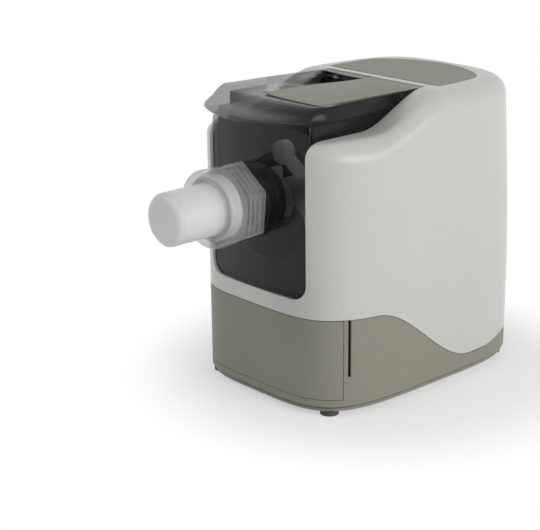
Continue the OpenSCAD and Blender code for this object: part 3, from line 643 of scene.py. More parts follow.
@dataclass(frozen=True)
class CasingForm:
    """Sizes that the casing, base and drawer share, in millimetres.

    seam_fall and top_rise are the depths and end_angles the degrees between which an eased
    step runs. A seam's rise is its height and the depths where it starts and ends.
    """

    width: float = 212.0
    depth: float = 290.0
    height: float = 295.0
    foot: float = 5.0
    squareness: float = 4.2
    side_lean: float = 0.004
    front_lean: float = 0.006
    rear_bow: float = 0.00017
    bow_start: float = 95.0
    rear_reach: float = 145.53
    squareness_fall: float = 0.0039
    fall_start: float = 100.0
    shoulder: float = 22.0
    end_shoulder: float = 14.0
    seam_front: float = 95.5
    seam_rear: float = 24.0
    seam_fall: tuple[float, float] = (-84.0, 50.0)
    rear_rise: tuple[float, float, float] = (6.0, 74.0, 114.0)
    front_rise: tuple[float, float, float] = (1.8, -80.0, -130.0)
    seam_gap: float = 0.25
    front_drop: float = 30.5
    top_rise: tuple[float, float] = (-70.0, 16.0)
    end_angles: tuple[float, float] = (26.0, 50.0)
    spread_height: float = 150.0
    base_bottom: float = 10.0
    wall: float = 3.0

    def half_w(self, z: np.ndarray) -> np.ndarray:
        """Half width at a height: it shrinks by the sides' lean."""
        return self.width / 2 - self.side_lean * (z - self.foot)

    def half_d(self, z: np.ndarray) -> np.ndarray:
        """Reach of the front at a height: it grows by the front's lean."""
        return self.depth / 2 + self.front_lean * (z - self.foot)

    def rear_d(self, z: np.ndarray) -> np.ndarray:
        """Reach of the back: the front's, less a parabola above bow_start, and capped."""
        bowed = self.half_d(z) - self.rear_bow * np.maximum(0.0, z - self.bow_start) ** 2
        return np.minimum(bowed, self.rear_reach)

    def rear_n(self, z: np.ndarray) -> np.ndarray:
        """Squareness of the rear half, which falls evenly above fall_start."""
        return self.squareness - self.squareness_fall * np.maximum(0.0, z - self.fall_start)

    def point(self, a: np.ndarray, z: np.ndarray, ix: np.ndarray = 0.0,
              iy: np.ndarray = 0.0) -> np.ndarray:
        """Points of the wall in direction a at height z, drawn in by ix and iy.

        The plan is a superellipse with its own depth and power n for the rear half:
        r = ((|cos a| / hw)^n + (|sin a| / hd)^n)^(-1/n).
        """
        a, z = np.broadcast_arrays(a, z)
        rear = np.sin(a) > 0.0
        n = np.where(rear, self.rear_n(z), self.squareness)
        hw, hd = self.half_w(z) - ix, np.where(rear, self.rear_d(z), self.half_d(z)) - iy
        r = ((np.abs(np.cos(a)) / hw) ** n + (np.abs(np.sin(a)) / hd) ** n) ** (-1.0 / n)
        return np.stack([r * np.cos(a), r * np.sin(a), z], -1)

    def angle_at_x(self, x: np.ndarray, z: np.ndarray, ix: np.ndarray = 0.0,
                   iy: np.ndarray = 0.0) -> np.ndarray:
        """Direction of the front wall's point that lies at a given x.

        Solves the superellipse for y: y = -hd * (1 - (|x| / hw)^n)^(1/n).
        """
        n = self.squareness
        hw, hd = self.half_w(z) - ix, self.half_d(z) - iy
        y = -hd * (1.0 - np.minimum(np.abs(x) / hw, 0.9999) ** n) ** (1.0 / n)
        return np.arctan2(y, x)

    def angle_at_y(self, y: float, z: float, inset: float = 0.0) -> float:
        """Direction of the right-hand wall's point that lies at a given y."""
        n = self.rear_n(z) if y > 0 else self.squareness
        hw = self.half_w(z) - inset
        hd = (self.rear_d(z) if y > 0 else self.half_d(z)) - inset
        return math.atan2(y, hw * (1.0 - (abs(y) / hd) ** n) ** (1.0 / n))

    def seam(self, p: np.ndarray) -> np.ndarray:
        """Height of the wavy seam at points of the wall.

        It falls from the front height to the rear height along the side by an eased step,
        and rises a little at both ends.
        """
        y = p[..., 1]
        side = blend(self.seam_front, self.seam_rear, ease(y, *self.seam_fall))
        return side + sum(height * ease(y, start, end)
                          for height, start, end in (self.rear_rise, self.front_rise))

    def seam_line(self, a: np.ndarray, gaps: float) -> np.ndarray:
        """Height of the seam in direction a, moved up by a number of seam gaps."""
        return self.seam(self.point(a, np.full_like(a, self.seam_front))) + gaps * self.seam_gap

    def top(self, y: np.ndarray) -> np.ndarray:
        """Height of the top at depth y: an eased rise of front_drop towards the rear."""
        return blend(self.height - self.front_drop, self.height, ease(y, *self.top_rise))

    def end_share(self, a: np.ndarray) -> np.ndarray:
        """How much direction a belongs to the front or the rear, where shoulders are small."""
        off = np.abs(90.0 - np.abs((np.degrees(a) + 180.0) % 360.0 - 180.0))
        return 1.0 - ease(off, *self.end_angles)

    def spread(self, start: float, end: float, step: float,
               marks: Sequence[float] = ()) -> np.ndarray:
        """Directions along the wall, about evenly spaced by arc length at spread_height.

        Args:
            start: first direction, in radians.
            end: last direction.
            step: distance wanted between neighbours.
            marks: directions that must be among them.

        Returns:
            Rising directions, from start to end.
        """
        cuts = [start] + sorted(m for m in marks if start < m < end) + [end]
        parts = []
        for lo, hi in zip(cuts[:-1], cuts[1:]):
            fine = np.linspace(lo, hi, 400)
            p = self.point(fine, np.full_like(fine, self.spread_height))
            run = np.concatenate([[0.0], np.cumsum(np.linalg.norm(np.diff(p, axis=0), axis=1))])
            n = max(1, int(round(run[-1] / step)))
            parts.append(np.interp(np.linspace(0.0, run[-1], n + 1)[:-1], run, fine))
        return np.concatenate(parts + [np.array([end])])


def mirrored(right: np.ndarray) -> np.ndarray:
    """Joins a grid of the right half with its mirror image on the left.

    Args:
        right: rows by columns by 3, columns from the front to the rear middle.

    Returns:
        Columns from the front over the right and rear to the front again on the left.
    """
    left = right[:, ::-1] * np.array([-1.0, 1.0, 1.0])
    return np.concatenate([right, left[:, 1:]], axis=1)


# ---------------------------------------------------------------- control panel's outline


@dataclass(frozen=True)
class PanelForm:
    """Plan of the control panel: straight in front, bowed at the sides, round behind."""

    front: float = 27.6
    half_w: float = 75.3
    rear: float = 120.0
    rear_r: float = 96.0
    side_r: float = 200.0
    side_y: float = 45.0
    middle: float = 50.0
    softness: float = 40.0

    def reach(self, b: np.ndarray, grow: float = 0.0) -> np.ndarray:
        """Distance from (0, middle) to the outline in direction b.

        Each edge gives the distance at which the ray meets it, and the distances join as
        (sum of s^-p)^(-1/p), which rounds the corners.
        """
        u = np.stack([np.cos(b), np.sin(b)], -1)
        total = np.zeros_like(b)
        for cx, cy, r in ((0.0, self.rear - self.rear_r, self.rear_r),
                          (self.half_w - self.side_r, self.side_y, self.side_r),
                          (self.side_r - self.half_w, self.side_y, self.side_r)):
            c = np.array([-cx, self.middle - cy])
            along = u @ c
            s = -along + np.sqrt(along ** 2 - c @ c + (r + grow) ** 2)
            total = total + s ** -self.softness
        down = np.maximum(-u[..., 1], 1e-6)
        total = total + ((self.middle - self.front + grow) / down) ** -self.softness
        return total ** (-1.0 / self.softness)

    def outline(self, b: np.ndarray, grow: float = 0.0) -> np.ndarray:
        """Points of the outline in direction b, as x and y."""
        s = self.reach(b, grow)
        return np.stack([s * np.cos(b), self.middle + s * np.sin(b)], -1)


# ---------------------------------------------------------------- casing


@dataclass
class WhiteCasing:
    """The white upper casing, with its window, lid opening, vents and inlet hole.

    swing is the hinge's depth and height and the radius that the lid's rear edge sweeps.
    """

    form: CasingForm = field(default_factory=CasingForm)
    panel: PanelForm = field(default_factory=PanelForm)
    opening: float = 66.7
    sill: float = 114.0
    corner: float = 15.2
    rib_front: float = 18.2
    rib_middle: float = 23.0
    rib_rear: float = 27.0
    rib_low: float = 282.6
    swing: tuple[float, float, float] = (11.2, 288.1, 9.3)
    panel_gap: float = 0.6
    hold_angle: float = math.radians(14.0)
    side_trim: float = 3.0
    back_start: float = 100.0
    back_height: float = 130.0
    column_step: float = 4.0
    low_step: float = 6.0
    high_step: float = 7.0
    deck_shares: tuple[float, ...] = (0.35, 0.7, 1.0)
    edge: float = 0.7
    rib_edge: float = 0.4
    rib_sink: float = 0.05
    rib_overlap: float = 2.0
    inlet_half_w: float = 14.4
    inlet_low: float = 51.4
    inlet_high: float = 72.6
    vent_half_w: float = 36.0
    vent_low: float = 118.0
    vent_height: float = 3.2
    vent_pitch: float = 8.0
    vents: int = 7

    def build(self, shop: Workshop) -> None:
        """Makes the casing.

        Args:
            shop: the workshop.
        """
        form = self.form
        split = self.sill + self.corner
        edge = form.angle_at_x(np.array(self.opening), np.array(split))
        back = [math.atan2(self._back_y(x), x) for x in (self.vent_half_w, self.inlet_half_w)]
        marks = [form.angle_at_y(y, form.height, form.shoulder)
                 for y in (self.rib_front, self.rib_middle, self.rib_rear)] + back
        sides = form.spread(float(edge), math.pi / 2, self.column_step, marks)
        skin = Skin()
        self._lower(skin, sides, split)
        self._upper(skin, sides, split)
        shop.make(Piece("upper_casing", Body.HOUSING, Slot.WHITE, ("upper_shell",),
                        wall=form.wall, edge=self.edge), skin)
        shop.make(Piece("lid_rib", Body.HOUSING, Slot.WHITE, ("upper_shell",),
                        edge=self.rib_edge, inside=(0.0, self.rib_middle, self.rib_low)),
                  self._rib())

    def _back_y(self, x: float) -> float:
        """Depth of the rear wall at x, from the superellipse."""
        form, z = self.form, self.back_height
        n, hw, hd = form.rear_n(z), form.half_w(z), form.rear_d(z)
        return float(hd * (1.0 - (x / hw) ** n) ** (1.0 / n))

    def _rows(self, low: float, high: float, step: float) -> np.ndarray:
        """Shares of the way from low to high, with a row at each edge of inlet and vents."""
        marks = [self.inlet_low, self.inlet_high]
        marks += [self.vent_low + i * self.vent_pitch + d
                  for i in range(self.vents) for d in (0.0, self.vent_height)]
        inner = [m for m in marks if low < m < high]
        return (stations([low] + inner + [high], step) - low) / (high - low)

    def _lower(self, skin: Skin, sides: np.ndarray, split: float) -> None:
        """Wall from the seam to the window's sill, all the way round.

        Under the window the columns stand at fixed x. They end on the sill, whose corner is
        a quarter circle: x = opening - corner * (1 - sin f), z = sill + corner * (1 - cos f).
        """
        form = self.form
        f = quarter(10)
        flat = np.linspace(0.0, self.opening - self.corner, 12)[:-1]
        x = np.concatenate([flat, self.opening - self.corner * (1.0 - np.sin(f))])[:-1]
        ends = np.concatenate([np.full(len(flat), self.sill),
                               self.sill + self.corner * (1.0 - np.cos(f))])[:-1]
        front = form.angle_at_x(x, np.full_like(x, form.seam_front))
        a = np.concatenate([front, sides])
        end = np.concatenate([ends, np.full(len(sides), split)])
        seam = form.seam_line(a, 1.0)
        rear_seam = form.seam_rear + form.rear_rise[0] + form.seam_gap
        w = self._rows(rear_seam, split, self.low_step)[:, None]
        z = seam + w * (end - seam)
        angle = np.broadcast_to(a, z.shape).copy()
        angle[:, :len(x)] = form.angle_at_x(x, z[:, :len(x)])
        p = mirrored(form.point(angle, z))
        skin.grid(p, keep=self._solid(p))

    def _upper(self, skin: Skin, sides: np.ndarray, split: float) -> None:
        """Wall, shoulder and deck above the window's sill, open over the lid.

        The shoulder is a quarter ellipse: drawn in by r * (1 - cos t) and up by
        drop * sin t. Columns next to the window keep their x, and the others their direction.
        """
        form = self.form
        hold = 1.0 - ease(sides - sides[0], 0.0, self.hold_angle)
        x = form.point(sides, np.full_like(sides, split))[:, 0]
        f = form.end_share(sides)
        side_r = blend(form.shoulder, form.shoulder - self.side_trim, f)
        long_r = blend(form.shoulder, form.end_shoulder, f)
        high = np.full_like(sides, form.height)
        top = form.top(self._held(sides, x, hold, high, side_r, long_r)[..., 1])
        start = top - long_r
        w = self._rows(split, form.height - form.shoulder, self.high_step)[:, None]
        wall = self._held(sides, x, hold, split + w * (start - split), 0.0, 0.0)
        t = quarter(13)[1:, None]
        inset = 1.0 - np.cos(t)
        round_ = self._held(sides, x, hold, start + long_r * np.sin(t), side_r * inset,
                            long_r * inset)
        end = self._deck_edge(round_[-1])
        s = np.array(self.deck_shares)[:, None, None]
        deck = round_[-1] + s * (end - round_[-1])
        deck[..., 2] = form.top(deck[..., 1])
        p = mirrored(np.concatenate([wall, round_, deck]))
        skin.grid(p, keep=self._solid(p))

    def _held(self, a: np.ndarray, x: np.ndarray, hold: np.ndarray, z: np.ndarray,
              ix: np.ndarray, iy: np.ndarray) -> np.ndarray:
        """Wall points in direction a, moved a share hold of the way back to the column's x."""
        form = self.form
        free = form.point(a, z, ix, iy)[..., 0]
        angle = np.where(hold > 0.0, form.angle_at_x(free + hold * (x - free), z, ix, iy), a)
        return form.point(angle, np.broadcast_to(z, angle.shape), ix, iy)

    def _deck_edge(self, rim: np.ndarray) -> np.ndarray:
        """Where the deck ends for each column of the rim.

        Beside the lid it ends straight across at the opening's width, then on the ends of the
        rib, and behind that on the control panel's outline, grown by the gap.
        """
        y, gap = rim[:, 1], self.panel_gap
        reach = self.panel.half_w + gap
        b = np.arctan2(y - self.panel.middle, rim[:, 0])
        corner = math.atan2(self.rib_rear - self.panel.middle, reach)
        around = self.panel.outline(np.maximum(b, corner), gap)
        edge = np.stack([np.full_like(y, self.opening), y], -1)
        behind = y > self.rib_rear - CLOSE
        edge[behind] = around[behind]
        middle = (y > self.rib_front + CLOSE) & ~behind
        along = np.minimum(1.0, (y - self.rib_front) / (self.rib_middle - self.rib_front))
        across = np.maximum(0.0, (y - self.rib_middle) / (self.rib_rear - self.rib_middle))
        edge[middle, 1] = blend(self.rib_front, self.rib_rear, along[middle])
        edge[middle, 0] += across[middle] * (reach - self.opening)
        return np.concatenate([edge, self.form.top(edge[:, 1:2])], axis=1)

    def _solid(self, p: np.ndarray) -> np.ndarray:
        """Marks the quads that aren't inside a vent or the inlet hole."""
        c = (p[:-1, :-1] + p[1:, :-1] + p[:-1, 1:] + p[1:, 1:]) / 4.0
        x, y, z = np.abs(c[..., 0]), c[..., 1], c[..., 2]
        back = y > self.back_start
        inlet = (x < self.inlet_half_w) & (z > self.inlet_low) & (z < self.inlet_high)
        step = (z - self.vent_low) % self.vent_pitch
        high = self.vent_low + self.vent_pitch * self.vents
        vent = (x < self.vent_half_w) & (step < self.vent_height)
        vent &= (z > self.vent_low) & (z < high)
        return ~(back & (inlet | vent))

    def _rib(self) -> Skin:
        """Bar between the lid and the control panel, hollowed where the lid's edge swings.

        The hollow is an arc about the hinge: y = y0 + r cos v, z = z0 + r sin v.
        """
        y0, z0, r = self.swing
        high = self.form.height - self.rib_sink
        top_v = math.acos((self.rib_front - y0) / r)
        low_v = math.asin((self.rib_low - z0) / r)
        v = np.linspace(low_v, top_v, 14)
        hollow = np.stack([y0 + r * np.cos(v), z0 + r * np.sin(v)], -1)
        loop = np.concatenate([hollow, [(self.rib_front, high), (self.rib_rear, high),
                                        (self.rib_rear, self.rib_low)]])
        middle = loop.mean(axis=0)
        reach = self.opening + self.rib_overlap
        rows = []
        for x, share in ((-reach, 0.0), (-reach, 1.0), (reach, 1.0), (reach, 0.0)):
            yz = middle + share * (loop - middle)
            rows.append(np.concatenate([np.full((len(loop), 1), x), yz], axis=1))
        skin = Skin()
        skin.grid(np.stack(rows), around=True)
        return skin


@dataclass
class GreyBase:
    """The grey lower shell, open in front for the drawer.

    groove is the depth of the finger groove's two edges and the height of its foot.
    """

    form: CasingForm = field(default_factory=CasingForm)
    sill: float = 17.0
    drawer_edge: float = -117.0
    groove: tuple[float, float, float] = (-113.0, -110.4, 38.0)
    edge_height: float = 60.0
    column_step: float = 4.0
    row_step: float = 2.5
    edge: float = 0.6

    def build(self, shop: Workshop) -> None:
        """Makes the shell.

        Args:
            shop: the workshop.
        """
        form = self.form
        front, rear, foot = self.groove
        marks = [form.angle_at_y(y, self.edge_height) for y in (self.drawer_edge, front, rear)]
        a = form.spread(-math.pi / 2, math.pi / 2, self.column_step, marks)
        low = stations([form.base_bottom, self.sill], self.row_step)[:, None]
        w = np.linspace(0.0, 1.0, 15)[1:, None]
        z = np.concatenate([np.broadcast_to(low, (len(low), len(a))),
                            self.sill + w * (form.seam_line(a, -1.0) - self.sill)])
        right = form.point(a, z)
        c = (right[:-1, :-1] + right[1:, 1:]) / 2.0
        drawer = (c[..., 1] < self.drawer_edge) & (c[..., 2] > self.sill)
        groove = (c[..., 1] > front) & (c[..., 1] < rear) & (c[..., 2] > foot)
        keep = ~(drawer | groove)
        skin = Skin()
        skin.grid(mirrored(right), keep=np.concatenate([keep, keep[:, ::-1]], axis=1))
        shop.make(Piece("base_casing", Body.HOUSING, Slot.GREY, ("base_shell",),
                        wall=form.wall, edge=self.edge, inside=(0.0, 0.0, foot)), skin)


@dataclass
class DrawerFront:
    """The drawer's curved front."""

    form: CasingForm = field(default_factory=CasingForm)
    sill: float = 17.25
    edge_y: float = -117.25
    edge_height: float = 60.0
    extra_wall: float = 0.6
    column_step: float = 3.5
    edge: float = 0.8

    def build(self, shop: Workshop) -> None:
        """Makes the front.

        Args:
            shop: the workshop.
        """
        form = self.form
        end = form.angle_at_y(self.edge_y, self.edge_height)
        a = form.spread(-math.pi / 2, end, self.column_step)
        w = np.linspace(0.0, 1.0, 17)[:, None]
        right = form.point(a, self.sill + w * (form.seam_line(a, -2.0) - self.sill))
        left = right[:, ::-1] * np.array([-1.0, 1.0, 1.0])
        skin = Skin()
        skin.grid(np.concatenate([left[:, :-1], right], axis=1))
        shop.make(Piece("drawer_face", Body.DRAWER, Slot.GREY, ("drawer_front",),
                        wall=form.wall + self.extra_wall, edge=self.edge,
                        inside=(0.0, 0.0, self.edge_height)), skin)


@dataclass
class ControlPanel:
    """The grey inlay with the controls, flat and bare."""

    panel: PanelForm = field(default_factory=PanelForm)
    top: float = 295.4
    thickness: float = 3.4
    edge: float = 0.7
    loops: tuple[float, ...] = (40.0, 12.0, 2.0, 0.0)

    def build(self, shop: Workshop) -> None:
        """Makes the panel as one closed disc.

        Args:
            shop: the workshop.
        """
        b = directions(240)
        floor = self.top - self.thickness
        rows = []
        for inset, z in ((math.inf, self.top), *((i, self.top) for i in self.loops),
                         (0.0, floor), (math.inf, floor)):
            s = np.maximum(self.panel.reach(b) - inset, 0.0)
            rows.append(np.stack([s * np.cos(b), self.panel.middle + s * np.sin(b),
                                  np.full_like(b, z)], -1))
        skin = Skin()
        skin.grid(np.stack(rows), around=True)
        shop.make(Piece("control_top", Body.HOUSING, Slot.GREY, ("control_panel",),
                        edge=self.edge), skin)


# ---------------------------------------------------------------- window and head


@dataclass
class WindowCover:
    """The curved smoky window with the boss that carries the barrel."""

    half_w: float = 65.6
    low: float = 114.4
    high: float = 278.2
    corner: float = 14.1
    arc: float = 294.0
    arc_middle: float = 148.0
    thick: float = 3.5
    rim_y: float = -131.4
    rim_wall: float = 3.6
    boss_r: float = 36.0
    bore_r: float = 31.15
    boss_end: float = -158.0
    edge: float = 0.8

    def _outline(self, b: np.ndarray, inset: float) -> np.ndarray:
        """Points of the rounded rectangle in direction b from the shaft, as x and z.

        The distance is found by halving: a point is outside where its signed distance to
        the rounded rectangle is above zero.
        """
        mid = (self.low + self.high) / 2.0
        half = np.array([self.half_w - inset, (self.high - self.low) / 2.0 - inset])
        corner = max(self.corner - inset, 1.0)
        u = np.stack([np.cos(b), np.sin(b)], -1)
        near, far = np.zeros_like(b), np.full_like(b, 200.0)
        for _ in range(40):
            s = (near + far) / 2.0
            p = np.abs(u * s[:, None] + np.array([0.0, SHAFT_HEIGHT - mid])) - half + corner
            outside = np.linalg.norm(np.maximum(p, 0.0), axis=1) - corner > 0.0
            outside |= (p.max(axis=1) - corner) > 0.0
            near, far = np.where(outside, near, s), np.where(outside, s, far)
        return u * near[:, None] + np.array([0.0, SHAFT_HEIGHT])

    def _on_arc(self, start: np.ndarray, end: np.ndarray, depth: float) -> np.ndarray:
        """Nine loops from one outline to another, bent onto the window's arc.

        The arc is a circle about an upright axis: y = middle - root((arc - depth)^2 - x^2).
        """
        xz = blend(start, end, np.linspace(0.0, 1.0, 9)[:, None, None])
        return self._loops(xz, self.arc_middle
                           - np.sqrt((self.arc - depth) ** 2 - xz[..., 0] ** 2))

    @staticmethod
    def _loops(xz: np.ndarray, y: np.ndarray) -> np.ndarray:
        """Puts loops of x and z at depth y, as loops by points by 3."""
        x, z = np.atleast_2d(xz[..., 0]), np.atleast_2d(xz[..., 1])
        return np.stack([x, np.broadcast_to(y, x.shape), z], -1)

    def build(self, shop: Workshop) -> None:
        """Makes the window, its rim and the boss as one closed form.

        Args:
            shop: the workshop.
        """
        b = directions(192)
        ring = np.stack([np.cos(b), np.sin(b)], -1)
        centre = np.array([0.0, SHAFT_HEIGHT])
        edge, inner_edge = self._outline(b, 0.0), self._outline(b, self.rim_wall)
        boss, bore = ring * self.boss_r + centre, ring * self.bore_r + centre
        skin = Skin()
        skin.grid(np.concatenate([
            self._on_arc(edge, boss, 0.0),
            self._loops(boss, self.boss_end), self._loops(bore, self.boss_end),
            self._on_arc(bore, inner_edge, self.thick),
            self._loops(inner_edge, self.rim_y), self._loops(edge, self.rim_y),
        ]), around=True, closed=True)
        shop.make(Piece("window", Body.COVER, Slot.SMOKY, ("front_cover",),
                        edge=self.edge), skin)


@dataclass
class HeadThread:
    """Screw thread that the barrel and the nut share: an off-centre circle that turns."""

    mean_r: float
    offset: float = 0.8
    pitch: float = 5.0

    def radius(self, a: np.ndarray, h: np.ndarray) -> np.ndarray:
        """Distance of the thread's crest line in direction a at reach h.

        The circle's middle lies at angle 360 * h / pitch: e * cos(d) plus the root of
        r^2 - (e * sin d)^2, where d is the direction measured from that middle.
        """
        d = a - 2.0 * math.pi * h / self.pitch
        return self.offset * np.cos(d) + np.sqrt(self.mean_r ** 2 - (self.offset * np.sin(d)) ** 2)


@dataclass
class Barrel:
    """The short pipe in the window that the nut screws onto."""

    start: float = 131.5
    shank_end: float = 159.0
    end: float = 180.0
    shank_r: float = 31.0
    bore_r: float = 25.5
    thread: HeadThread = field(default_factory=lambda: HeadThread(29.8))

    def build(self, shop: Workshop) -> None:
        """Makes the barrel: shank, thread, end face and bore in one closed form.

        Args:
            shop: the workshop.
        """
        a = directions(128)
        shank = np.array([(self.bore_r, self.start), (self.shank_r, self.start),
                          (self.shank_r, self.shank_end)])
        h = np.linspace(self.shank_end, self.end, 85)[:, None]
        skin = Skin()
        skin.grid(np.concatenate([
            about_shaft(shank[:, :1], a, shank[:, 1:]),
            about_shaft(self.thread.radius(a, h), a, h),
            about_shaft(np.full((1, 1), self.bore_r), a, self.end),
        ]), around=True, closed=True)
        shop.make(Piece("barrel", Body.COVER, Slot.SMOKY, ("extrusion_barrel",)), skin)


@dataclass
class DieHead:
    """The milky die head: a collar and a round nose with outlets underneath.

    flat is the reach of the recessed flat's two ends and its half width, and least_sine
    keeps the division by the sine of a direction away from zero.
    """

    collar_r: float = 30.1
    collar: tuple[float, float] = (184.0, 197.6)
    chamfers: tuple[float, float] = (0.8, 1.2)
    fillet: float = 1.4
    tube_r: float = 25.0
    nose: float = 254.0
    nose_round: float = 7.0
    crown_r: float = 12.0
    bore_r: float = 19.0
    flat: tuple[float, float, float] = (211.0, 247.0, 16.0)
    flat_drop: float = 22.0
    flat_step: float = 0.4
    least_sine: float = 0.3
    slots_x: tuple[float, ...] = (-12.0, -4.0, 4.0, 12.0)
    slots_y: tuple[float, ...] = (216.0, 222.2, 228.4, 234.6, 240.8)
    slot_w: float = 1.8
    slot_l: float = 5.0

    def build(self, shop: Workshop) -> None:
        """Makes the head: outer wall with the recessed flat, nose, and the bore.

        Args:
            shop: the workshop.
        """
        a, profile = self._directions(), self._profile()
        first, last, half = self.flat
        h, down = profile[:, 1:], np.maximum(-np.sin(a), self.least_sine)
        flat_r = self.flat_drop / down
        in_x = (np.sin(a) < -self.least_sine) & (np.abs(flat_r * np.cos(a)) < half + CLOSE)
        in_h = (h >= first - CLOSE) & (h <= last + CLOSE)
        r = np.where(in_x & in_h, np.minimum(profile[:, :1], flat_r), profile[:, :1])
        p = about_shaft(r, a, h)
        skin = Skin()
        skin.grid(p, around=True, keep=self._solid(p))
        shop.make(Piece("die", Body.DIE, Slot.MILKY, ("die_head",), wall=3.0, edge=0.25,
                        inside=(0.0, -220.0, SHAFT_HEIGHT), sharp=40.0), skin)

    def _directions(self) -> np.ndarray:
        """Directions of the columns, with one at each edge of the outlets and of the flat."""
        half = self.flat[2]
        edges = [x + d for x in self.slots_x for d in (-self.slot_w / 2, self.slot_w / 2)]
        edges += [-half, half, -half - self.flat_step, half + self.flat_step]
        extra = [math.atan2(-self.flat_drop, x) % (2.0 * math.pi) for x in edges]
        return np.unique(np.round(np.concatenate([directions(120), extra]), 5))

    def _profile(self) -> np.ndarray:
        """Radius and reach of each loop: collar, fillet, wall, nose and crown.

        The fillet and the rounding of the nose are quarter circles.
        """
        first, last = self.flat[:2]
        rear, front = self.collar
        small, large = self.chamfers
        marks = [first - self.flat_step, first, last, last + self.flat_step]
        marks += [y + d for y in self.slots_y for d in (-self.slot_l / 2, self.slot_l / 2)]
        wall_h = stations([front + self.fillet] + sorted(marks), 3.0)[1:]
        bend, t = quarter(6), quarter(12)
        return np.concatenate([
            [(self.bore_r, rear), (self.collar_r - small, rear), (self.collar_r, rear + small),
             (self.collar_r, front - large), (self.collar_r - large, front)],
            np.stack([self.tube_r + self.fillet * (1.0 - np.sin(bend)),
                      front + self.fillet * (1.0 - np.cos(bend))], -1),
            np.stack([np.full_like(wall_h, self.tube_r), wall_h], -1),
            np.stack([self.tube_r - self.nose_round * (1.0 - np.cos(t)),
                      self.nose - self.nose_round * (1.0 - np.sin(t))], -1),
            [(self.crown_r, self.nose), (0.0, self.nose)],
        ])

    def _solid(self, p: np.ndarray) -> np.ndarray:
        """Marks the quads that aren't an outlet."""
        q = np.concatenate([p, p[:, :1]], axis=1)
        c = (q[:-1, :-1] + q[1:, 1:]) / 2.0
        x, h, z = c[..., 0], -c[..., 1], c[..., 2] - SHAFT_HEIGHT
        in_x = np.min(np.abs(x[..., None] - np.array(self.slots_x)), axis=-1) < self.slot_w / 2
        in_h = np.min(np.abs(h[..., None] - np.array(self.slots_y)), axis=-1) < self.slot_l / 2
        return ~(in_x & in_h & (z < -self.flat_drop + 0.5))


@dataclass
class ClampNut:
    """The clear nut with six-sided ridges and a smooth round front.

    lip holds the radius and the depth behind the front end of each of the lip's loops.
    """

    start: float = 160.5
    end: float = 205.0
    body: float = 24.5
    corner_r: float = 40.2
    low_r: float = 38.4
    turn: float = math.radians(24.0)
    round_r: float = 37.2
    fade: float = 3.0
    shoulder: float = 6.0
    lip: tuple[tuple[float, float], ...] = ((29.4, 0.0), (28.6, 0.6), (27.6, 1.8))
    ridges: int = 4
    ridge_w: float = 2.6
    ridge_pitch: float = 6.0
    ridge_soft: float = 0.9
    first_ridge: float = 0.6
    collar_room: tuple[float, float] = (180.6, 197.9)
    collar_r: float = 31.4
    mouth_r: float = 25.6
    mouth_start: float = 3.0
    mouth_chamfer: float = 0.4
    entry_r: float = 32.4
    softness: float = 60.0
    corner_cut: float = 0.3
    round_marks: tuple[float, float] = (28.0, 33.0)
    thread: HeadThread = field(default_factory=lambda: HeadThread(30.15))

    def _six_sided(self, a: np.ndarray, r: float) -> np.ndarray:
        """Radius of a hexagon with soft corners, the first of them in the direction turn.

        The flat's distance over cos of the angle from its middle, joined with a circle a
        little outside the corners as (u^-p + v^-p)^(-1/p).
        """
        half, p = math.pi / 6, self.softness
        flat = r * math.cos(half) / np.cos((a - self.turn) % (2.0 * half) - half)
        return (flat ** -p + (r + self.corner_cut) ** -p) ** (-1.0 / p)

    def _ridged(self, a: np.ndarray, h: np.ndarray) -> np.ndarray:
        """Radius of the ridged outside at reach h, which turns round towards its front.

        A ridge is 1 in its middle and falls to 0 by an eased step at both sides.
        """
        place = (h - self.first_ridge - self.ridge_w / 2) % self.ridge_pitch
        off = np.minimum(place, self.ridge_pitch - place)
        foot = self.ridge_w / 2 - 0.5
        ridge = 1.0 - ease(off, foot, foot + self.ridge_soft)
        last = self.first_ridge + self.ridge_pitch * (self.ridges - 0.4)
        ridge = np.where(h > last, 0.0, ridge)
        sided = blend(self._six_sided(a, self.low_r), self._six_sided(a, self.corner_r), ridge)
        return blend(sided, self.round_r, ease(h, self.body - self.fade, self.body))

    def _plain_loops(self) -> np.ndarray:
        """Radius and reach of the round loops: shoulder, lip, mouth and collar's room.

        The shoulder is a quarter circle, and the reach counts from the nut's rear end.
        """
        t = quarter(12)
        long = self.end - self.start
        low, high = (h - self.start for h in self.collar_room)
        return np.concatenate([
            [(self.round_r, h) for h in self.round_marks],
            np.stack([self.round_r - self.shoulder * (1.0 - np.cos(t)),
                      long - self.shoulder * (1.0 - np.sin(t))], -1),
            [(r, long - depth) for r, depth in self.lip],
            [(self.mouth_r, long - self.mouth_start), (self.mouth_r, high + self.mouth_chamfer),
             (self.mouth_r + self.mouth_chamfer, high), (self.collar_r, high),
             (self.collar_r, low)],
        ])

    def build(self, shop: Workshop) -> None:
        """Makes the nut: outside, front rim, mouth, collar room and thread, closed.

        Args:
            shop: the workshop.
        """
        a = directions(192)
        h = np.linspace(0.0, self.body, 50)[:, None]
        plain = self._plain_loops()
        inner = np.linspace(self.collar_room[0] - 0.05, self.start + 0.2, 76)[:, None]
        skin = Skin()
        skin.grid(np.concatenate([
            about_shaft(self._ridged(a, h), a, h + self.start),
            about_shaft(plain[:, :1], a, plain[:, 1:] + self.start),
            about_shaft(self.thread.radius(a, inner), a, inner),
            about_shaft(np.full((1, 1), self.entry_r), a, self.start),
        ]), around=True, closed=True)
        shop.make(Piece("nut", Body.NUT, Slot.CLEAR, ("clamp_nut",)), skin)


# ---------------------------------------------------------------- lid


